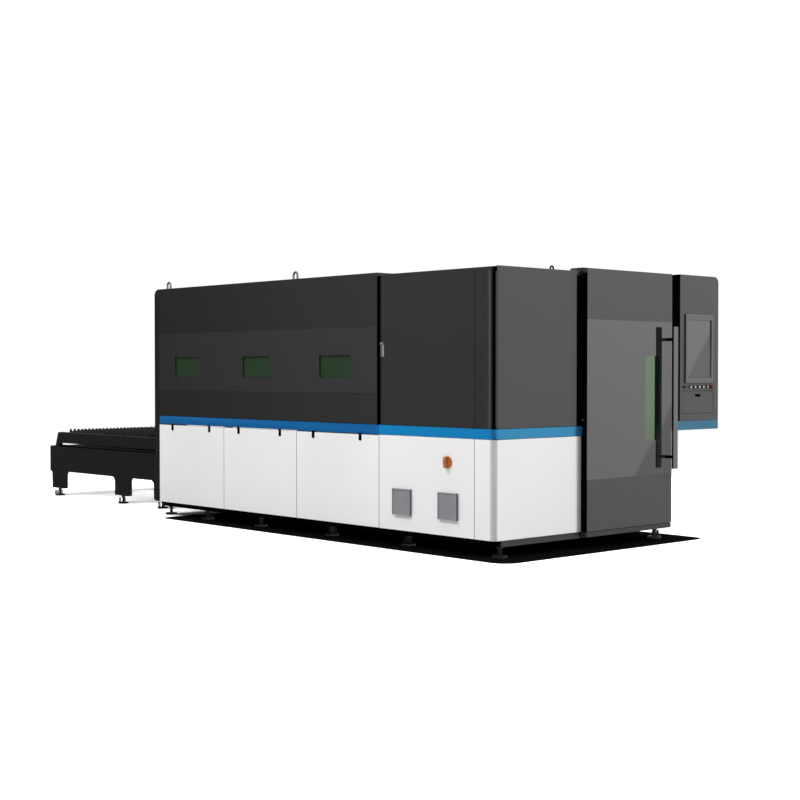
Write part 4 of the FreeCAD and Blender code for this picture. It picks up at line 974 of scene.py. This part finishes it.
def cornersOf(box, inset):
    # a screw's place in each corner of the near face of a box
    low, high = box
    return [(Vector((x, low.y, z)), -faceY) for x in (low.x + inset, high.x - inset)
            for z in (low.z + inset, high.z - inset)]


# Vents of the lower cabinet door: width and frame, the louvres between, where the first one
# starts, the filter behind them, and the screws in the corners
vent = {"width": 0.224, "edge": 0.009, "louvres": 26, "depth": 0.0125, "thickness": 0.0018,
        "tilt": 1.0, "set": 0.0075, "start": 0.003, "filterHalf": 0.1, "filterEdge": 0.01,
        "filterFront": 0.004, "filterBack": 0.002, "screwInset": 0.006}


def ventFrame(low, high, edge):
    # the four bars of one frame, as boxes
    inner = (low.z + edge, high.z - edge)
    bars = [(low.x, high.x, low.z, inner[0]), (low.x, high.x, inner[1], high.z),
            (low.x, low.x + edge, *inner), (high.x - edge, high.x, *inner)]
    return [((x0, low.y, z0), (x1, high.y, z1)) for x0, x1, z0, z1 in bars]


def makeVents():
    low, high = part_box("cabinet_vents")
    width, edge, count = vent["width"], vent["edge"], vent["louvres"]
    bars, filters, starts, bolts = [], [], [], []
    for x in (low.x, high.x - width):
        own = Vector((x, low.y, low.z)), Vector((x + width, nearWall, high.z))
        middle = x + width / 2
        bars += ventFrame(*own, edge)
        bolts += cornersOf(own, vent["screwInset"])
        starts.append((Vector((middle, low.y + vent["set"], low.z + edge + vent["start"])), faceY))
        filters.append(((middle - vent["filterHalf"], nearWall - vent["filterFront"],
                         low.z + vent["filterEdge"]),
                        (middle + vent["filterHalf"], nearWall - vent["filterBack"],
                         high.z - vent["filterEdge"])))
    # the frames' side faces are painted in the darker vent plastic as shade
    frames = painted(boxes("vent_frames", bars), [ventPlastic, ventEdge],
                     lambda centre, normal: abs(normal.x) > 0.5)
    standing(frames, "cabinet_vents")
    added(grown("vent_louvres", rowTree, starts, ventPlastic,
                {"Width": width - 2 * edge, "Depth": vent["depth"], "Thickness": vent["thickness"],
                 "Tilt": vent["tilt"], "Count": count,
                 "Pitch": (high.z - low.z - 2 * edge - vent["start"]) / count}), "cabinet_vents")
    added(painted(boxes("vent_filters", filters), [ventEdge]), "cabinet_vents")
    added(grown("vent_screws", screwTree, bolts, zincPlate, {"Radius": 0.0028, "Height": 0.0012}),
          "cabinet_vents")


# Latch plate: how far its screws sit from its edges and its face stands out of the wall
latch = {"inset": 0.006, "face": 0.005}


def makeCabinetFittings():
    eased("isolator_knob", 0.002, [orangePlastic])
    eased("latch_plate", 0.001, [chromePlate])
    eased("latch_lever", 0.0015, [chromePlate])
    low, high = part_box("latch_plate")
    face = Vector((low.x, nearWall - latch["face"], low.z)), high
    added(grown("latch_screws", screwTree, cornersOf(face, latch["inset"]), zincPlate,
                {"Radius": 0.0032, "Height": 0.002}), "latch_plate")


# Fronts of the units in the cabinet: louvres with a display under them and terminals at the
# foot of each module, with the sizes of each of them
unitFront = {"louvres": 8, "pitch": 0.010, "share": 0.70, "display": 0.025, "terminals": 8,
             "terminalPitch": 0.017, "inset": 0.025, "proud": 0.001, "sourceLouvres": 0.14,
             "louvreSize": {"Depth": 0.007, "Thickness": 0.0016, "Tilt": 0.7},
             "displaySize": {"Width": 0.06, "Depth": 0.022, "Height": 0.002},
             "terminalSize": {"Width": 0.013, "Depth": 0.020, "Height": 0.006},
             "plateScrew": {"Radius": 0.006, "Height": 0.004},
             "sourceLouvreSize": {"Width": 0.52, "Depth": 0.010, "Thickness": 0.002, "Tilt": 0.7,
                                  "Count": 20, "Pitch": 0.013},
             "sourceScrew": {"Radius": 0.005, "Height": 0.003}}


def makeDriveFronts():
    pieces = sorted(solidsOf("drive_units"), key=lambda box: box[1].x - box[0].x)
    modules, plate = pieces[:-1], pieces[-1]
    count, pitch, inset = unitFront["louvres"], unitFront["pitch"], unitFront["inset"]
    louvres, displays, terminals = [], [], []
    for low, high in modules:
        middle, foot = (low.x + high.x) / 2, high.z - inset - count * pitch
        louvres.append((Vector((middle, low.y - unitFront["proud"], foot)), faceY))
        displays.append((Vector((middle, low.y, foot - unitFront["display"])), -faceY))
        for i in range(unitFront["terminals"]):
            across = (i - (unitFront["terminals"] - 1) / 2) * unitFront["terminalPitch"]
            terminals.append((Vector((middle + across, low.y, low.z + inset)), -faceY))
    width = (modules[0][1].x - modules[0][0].x) * unitFront["share"]
    louvreSize = {"Width": width, "Count": count, "Pitch": pitch, **unitFront["louvreSize"]}
    for name, tree, points, material, size in (
            ("drive_louvres", rowTree, louvres, blackPlastic, louvreSize),
            ("drive_displays", keyTree, displays, bezelPlastic, unitFront["displaySize"]),
            ("drive_terminals", keyTree, terminals, keyPlastic, unitFront["terminalSize"]),
            ("plate_screws", screwTree, cornersOf(plate, inset), zincPlate, unitFront["plateScrew"])):
        added(grown(name, tree, points, material, size), "drive_units")


def makeSourceFront():
    low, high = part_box("laser_source")
    start = Vector(((low.x + high.x) / 2, low.y - unitFront["proud"],
                    low.z + unitFront["sourceLouvres"]))
    added(grown("source_louvres", rowTree, [(start, faceY)], blackPlastic,
                unitFront["sourceLouvreSize"]), "laser_source")
    added(grown("source_screws", screwTree, cornersOf((low, high), unitFront["inset"]), zincPlate,
                unitFront["sourceScrew"]), "laser_source")


def makeCabinetUnits():
    eased("cabinet_walls", 0.001, [innerPaint])
    eased("laser_source", 0.005, [anodisedCase])
    eased("drive_units", 0.003, [anodisedCase])
    makeDriveFronts()
    makeSourceFront()


# Sliding door: how far behind the glass its face ends, how thick the handle's bar is, and how
# far under the roof's top the hood over the door starts
door = {"face": 0.001, "bar": 0.0255, "hood": 0.021}


def makeDoor():
    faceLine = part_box("door_glass")[0].x - door["face"]
    eased("door_panel", 0.003, [doorPaint, returnPaint],
          lambda centre, normal: centre.x < faceLine or normal.y < -0.5)
    eased("door_glass", 0.001, [doorSheet])
    eased("door_window", 0.001, [doorGlass])
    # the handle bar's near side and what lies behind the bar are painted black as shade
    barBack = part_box("door_handle")[1].x - door["bar"]
    eased("door_handle", 0.003, [handleSteel, blackPaint],
          lambda centre, normal: centre.x < barBack or normal.y < -0.5)
    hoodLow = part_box("roof_panels")[1].z - door["hood"]
    eased("door_surround", 0.01, [blackPaint, hoodPaint],
          lambda centre, normal: centre.z > hoodLow)


# Console: how far left of the bezel its black edge ends, how far its lip stands out, the heights,
# half the width and the depth of the flap's pull, a button cap's radius and the button count
console = {"left": 0.0695, "lip": 0.0003, "pullLow": 1.279, "pullHigh": 1.305, "pullHalf": 0.046,
           "pullDepth": 0.0005, "cap": 0.0068, "buttons": 6}

# Keyboard in the flap: its rows and columns, the places that the long bar takes, the pitches,
# the height of the lowest row, and the sizes of a key
keyboard = {"rows": 5, "columns": 15, "bar": range(4, 11), "across": 0.0265, "up": 0.027,
            "lowest": 1.165, "barWidth": 0.178,
            "key": {"Width": 0.021, "Depth": 0.0225, "Height": 0.004}}


def makeScreen():
    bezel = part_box("screen_bezel")
    left, middle = bezel[0].y - console["left"], (bezel[0].y + bezel[1].y) / 2

    # the neck left of the bezel and the housing's left side are painted black as shade
    def housingTone(centre, normal):
        if centre.y < left or normal.y < -0.5:
            return 1
        return 2 if centre.x > frontWall + console["lip"] else 0

    # the bezel's outer left side is painted black as shade
    def bezelTone(centre, normal):
        if normal.y > -0.5:
            return 0
        return 2 if centre.y > middle else 1

    eased("console_housing", 0.004, [consolePaint, blackPaint, blackPlastic], housingTone)
    eased("screen_bezel", 0.0015, [bezelPlastic, blackPlastic, bezelShade], bezelTone)
    eased("screen", 0.001, [screenSheet])


def makeButtons():
    eased("emergency_stop", 0.0015, [stopPlastic])
    eased("key_switch", 0.001, [switchPlastic])
    for i in range(1, console["buttons"] + 1):
        node = "push_button_%d" % i
        axis = sum(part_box(node), Vector()) / 2

        def onRing(centre, normal):
            return math.hypot(centre.y - axis.y, centre.z - axis.z) >= console["cap"]

        cap = palePlastic if i < console["buttons"] else redPlastic
        eased(node, 0.0015, [cap, blackPlastic], onRing)


def makeKeyboard():
    low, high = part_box("keyboard_flap")
    middle = (low.y + high.y) / 2

    def inPull(centre, normal):
        pocket = console["pullLow"] < centre.z < console["pullHigh"]
        return (pocket and abs(centre.y - middle) < console["pullHalf"]
                and centre.x < frontWall - console["pullDepth"])

    eased("keyboard_flap", 0.0015, [consolePaint, blackPaint], inPull)
    last = keyboard["rows"] - 1
    keys = [(row, column) for row in range(keyboard["rows"]) for column in range(keyboard["columns"])
            if row != last or column not in keyboard["bar"]]

    def placed(row, column):
        across = (column - keyboard["columns"] // 2) * keyboard["across"]
        return Vector((low.x, middle + across, keyboard["lowest"] + row * keyboard["up"])), -faceX

    added(grown("keyboard_keys", keyTree, [placed(*key) for key in keys], keyPlastic,
                keyboard["key"]), "keyboard_flap")
    bar = placed(last, keyboard["columns"] // 2)
    added(grown("keyboard_bar", keyTree, [bar], keyPlastic,
                {**keyboard["key"], "Depth": keyboard["barWidth"]}), "keyboard_flap")


# Shuttle table: how high the rails' bright running face is, and the slats' thickness and pitch
table = {"runningFace": 0.0145, "slat": 0.006, "pitch": 0.1}


def makeTable():
    # the frame's upward faces are painted black as the shade in the gap under the pallet
    eased("table_frame", 0.006, [tablePaint, blackPaint], lambda centre, normal: normal.z > 0.3)
    eased("pallet_frame", 0.004, [tablePaint])
    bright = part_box("pallet_rails")[1].z - table["runningFace"]
    eased("pallet_rails", 0.001, [railSteel, framePaint], lambda centre, normal: centre.z <= bright)
    low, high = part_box("pallet_slats")
    middle, height, pitch = (low.y + high.y) / 2, high.z - low.z, table["pitch"]
    count = round((high.x - low.x - table["slat"]) / pitch) + 1
    places = [(Vector((low.x + pitch * i, middle, low.z + height / 2)), faceX)
              for i in range(count)]
    standing(grown("pallet_teeth", slatTree, places, slatSteel,
                   {"Length": high.y - low.y, "Height": height, "Thickness": table["slat"]}),
             "pallet_slats")


# Feet: the radius of each kind's stem, the height where a thread starts and its length, the size
# of a cell that gathers a foot's lowest corners, and how near the floor those lie
feet = {"levelling_feet": 0.014, "table_feet": 0.012, "from": 0.019, "length": 0.05,
        "cell": 0.2, "floor": 0.0001}


def ringMiddles(node):
    # the middle of the lowest corners in each cell; a foot that a cell's edge crosses gives several
    rings = {}
    for vertex in nodes[node].data.vertices:
        if abs(vertex.co.z) < feet["floor"]:
            key = (round(vertex.co.x / feet["cell"]), round(vertex.co.y / feet["cell"]))
            rings.setdefault(key, []).append(vertex.co.xy)
    for ring in rings.values():
        across, along = zip(*ring)
        yield Vector(((min(across) + max(across)) / 2, (min(along) + max(along)) / 2, feet["from"]))


def makeFeet():
    for node in ("table_feet", "levelling_feet"):
        eased(node, 0.002, [blackZinc])
        places = [(middle, faceZ) for middle in ringMiddles(node)]
        added(grown(node + "_thread", threadTree, places, blackZinc,
                    {"Radius": feet[node], "Length": feet["length"]}), node)


# Drives inside: the radius from which the roller is rubber, the heights of the head's nozzle and
# ceramic above its tip, how far in from the walls the guides start, and the bolts along them
drive = {"tyre": 0.04, "nozzle": 0.0125, "ceramic": 0.03, "guideFrom": 0.1956, "bolts": 28,
         "boltStart": 0.06, "boltPitch": 0.12, "boltInset": 0.017}


def makeDrives():
    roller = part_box("drive_roller")
    axis = (roller[0] + roller[1]) / 2
    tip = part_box("cutting_head")[0].z

    def onTyre(centre, normal):
        return math.hypot(centre.x - axis.x, centre.z - axis.z) > drive["tyre"]

    def headTone(centre, normal):
        if centre.z < tip + drive["nozzle"]:
            return 1
        return 2 if centre.z < tip + drive["ceramic"] else 0

    eased("bed", 0.004, [bedEnamel])
    eased("gearmotor", 0.003, [motorPaint])
    eased("gantry_guides", 0.001, [groundSteel])
    eased("scrap_trays", 0.001, [innerPaint])
    eased("wheelset_1", 0.002, [turnedSteel])
    eased("wheelset_2", 0.002, [turnedSteel])
    eased("drive_roller", 0.002, [turnedSteel, rollerRubber], onTyre)
    eased("gantry", 0.003, [machinedAluminium])
    eased("carriage", 0.003, [headPaint])
    eased("cutting_head", 0.002, [anodisedCase, copper, ceramic], headTone)


def makeGuideBolts():
    low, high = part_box("gantry_guides")
    near, far = nearWall + drive["guideFrom"], farWall - drive["guideFrom"]
    bolts = [(Vector((low.x + drive["boltStart"] + drive["boltPitch"] * i, y, high.z)), faceZ)
             for y in (near + drive["boltInset"], far - drive["boltInset"])
             for i in range(drive["bolts"])]
    added(grown("guide_bolts", screwTree, bolts, blackZinc, {"Radius": 0.008, "Height": 0.001}),
          "gantry_guides")


def makeLiftingEyes():
    # the eyes over the cabinet are painted with the front part's roof
    blackFrom = frontWall - 1.0
    eased("lifting_eyes", 0.001, [zincPlate, blackPaint], lambda centre, normal: centre.x > blackFrom)


makeLongSides()
makeSeamShadeStrip()
makeRoofTrims()
makeFrontPanels()
makeBlueBands()
makeLeaves()
makeLiftingEyes()
print("enclosure made")
makeVents()
makeCabinetFittings()
makeCabinetUnits()
print("cabinet made")
makeDoor()
makeScreen()
makeButtons()
makeKeyboard()
print("door and console made")
makeTable()
makeFeet()
makeDrives()
makeGuideBolts()

# Studio: what mirrors see round the machine, the floor's tones, and the painted shadow round the base
studio = {"ambient": 0.55, "ambientRise": (0.1, 0.75), "brightFrom": 33.0,
          "edgeNormal": (-36.05, 27.21), "edgeShade": 0.72, "edgeWidth": 0.0006,
          "rise": (-0.12, 0.09, 0.78, 1.05), "floorTone": 0.5, "floorWhite": 1.5, "floorNear": 5.0,
          "floorFar": 9.0, "floorSize": 80, "ground": 0.004,
          "shadowGrow": {"rear": -0.45, "front": 0.06, "side": 0.10}, "shadowEdge": (0.145, 0.175),
          "walls": [(0.0, 0.06), (0.011, 0.30), (0.05, 0.42), (0.5, 0.8), (0.95, 1.2), (1.0, 1.25)]}


def towards(bench, direction, azimuth, height):
    # how far a direction leans towards an azimuth and a height, in degrees
    azimuth, height = math.radians(azimuth), math.radians(height)
    aim = (math.cos(azimuth) * math.cos(height), math.sin(azimuth) * math.cos(height),
           math.sin(height))
    return bench.measure("DOT_PRODUCT", direction, aim)


def seenDirectly(bench):
    ray = bench.node("ShaderNodeLightPath")
    return ray.also("Is Camera Ray") + ray.also("Is Transmission Ray")


def makeWorld():
    world = bpy.data.worlds.new("studio")
    bpy.context.scene.world = world
    world.use_nodes = True
    bench = Bench(world.node_tree)
    direction = bench.node("ShaderNodeTexCoord")
    around = towards(bench, direction, studio["brightFrom"], 0) * 0.5 + 0.5
    stops = [(place, (level / 2,) * 3) for place, level in studio["walls"]]
    walls = bench.node("ShaderNodeValToRGB", {"stops": stops}, {"Fac": around}) * 2
    upward = bench.axes(direction).also("Z")
    rise = bench.ranged(upward, *studio["rise"])
    side = towards(bench, direction, *studio["edgeNormal"])
    edge = bench.ranged(side, -studio["edgeWidth"], studio["edgeWidth"], studio["edgeShade"], 1.0)
    sky = bench.ranged(upward, *studio["ambientRise"], 0.0, studio["ambient"], "SMOOTHSTEP")
    ambient, mirrored, white = [bench.node("ShaderNodeBackground", None,
                                           {"Color": (1, 1, 1), "Strength": strength})
                                for strength in (sky, walls * rise * edge, 1.0)]
    glossy = bench.node("ShaderNodeLightPath").also("Is Glossy Ray")
    soft = bench.mixShader(glossy, ambient, mirrored)
    shown = bench.mixShader(seenDirectly(bench), soft, white)
    bench.node("ShaderNodeOutputWorld", None, {"Surface": shown})


def outside(bench, node):
    # how far a point of the floor is from the outline of a node, grown on each side
    low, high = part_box(node)
    grow = studio["shadowGrow"]
    axes = bench.axes(bench.place())
    reaches = {}
    for axis, start, end in (("X", low.x - grow["rear"], high.x + grow["front"]),
                             ("Y", low.y - grow["side"], high.y + grow["side"])):
        away = bench.node("ShaderNodeMath", {"operation": "ABSOLUTE"},
                          {0: axes.also(axis) - (start + end) / 2})
        reaches[axis] = bench.node("ShaderNodeMath", {"operation": "MAXIMUM"},
                                   {0: away - (end - start) / 2, 1: 0.0})
    return bench.measure("LENGTH", bench.vector(**reaches))


def makeFloor():
    bm = bmesh.new()
    bmesh.ops.create_grid(bm, x_segments=1, y_segments=1, size=studio["floorSize"])
    floor = shaped("studio_floor", bm)
    material = bpy.data.materials.new("studioFloor")
    material.use_nodes = True
    bench = Bench(material.node_tree)
    plain, bright, dark = [bench.node("ShaderNodeBsdfDiffuse", None, {"Color": (tone, tone, tone)})
                           for tone in (studio["floorTone"], studio["floorWhite"], studio["ground"])]
    glow = bench.node("ShaderNodeEmission", None, {"Color": (1, 1, 1), "Strength": 1.0})
    reach = bench.measure("LENGTH", bench.place())
    fade = bench.ranged(reach, studio["floorNear"], studio["floorFar"], 0.0, 1.0, "SMOOTHSTEP")
    # painted shadow: the floor turns near-black inside a rounded outline grown round the base frame
    lit = bench.ranged(outside(bench, "base_frame"), *studio["shadowEdge"], 0.0, 1.0, "SMOOTHSTEP")
    shadowed = bench.mixShader(lit, dark, bench.mixShader(fade, bright, glow))
    shown = bench.mixShader(seenDirectly(bench), plain, shadowed)
    bench.node("ShaderNodeOutputMaterial", None, {"Surface": shown})
    floor.data.materials.append(material)
    floor.visible_glossy = False


# Lamps: place, the point each one faces, size and power in watts
lamps = {
    "overhead": {"place": (0.0, 0.0, 8.5), "aim": (0.0, 0.0, 0.0), "size": (14.0, 9.0), "power": 900.0},
    "nearSide": {"place": (1.6, -8.0, 7.5), "aim": (1.2, -1.5, 0.8), "size": (10.0, 3.0), "power": 690.0},
    "farSide": {"place": (-0.6, 9.0, 7.0), "aim": (-0.4, 0.8, 0.8), "size": (10.0, 3.0), "power": 560.0},
    "front": {"place": (11.0, 0.0, 7.0), "aim": (4.0, 0.0, 1.0), "size": (3.0, 7.0), "power": 470.0},
}


def makeLamps():
    for name, lamp in lamps.items():
        data = bpy.data.lights.new(name, "AREA")
        data.shape = "RECTANGLE"
        data.size, data.size_y = lamp["size"]
        data.energy = lamp["power"]
        light = bpy.data.objects.new(name, data)
        light.location = lamp["place"]
        aim = Vector(lamp["aim"]) - Vector(lamp["place"])
        light.rotation_euler = aim.to_track_quat("-Z", "Y").to_euler()
        light.visible_camera = False
        light.visible_glossy = False
        bpy.context.scene.collection.objects.link(light)


makeWorld()
makeFloor()
makeLamps()
print("studio made")
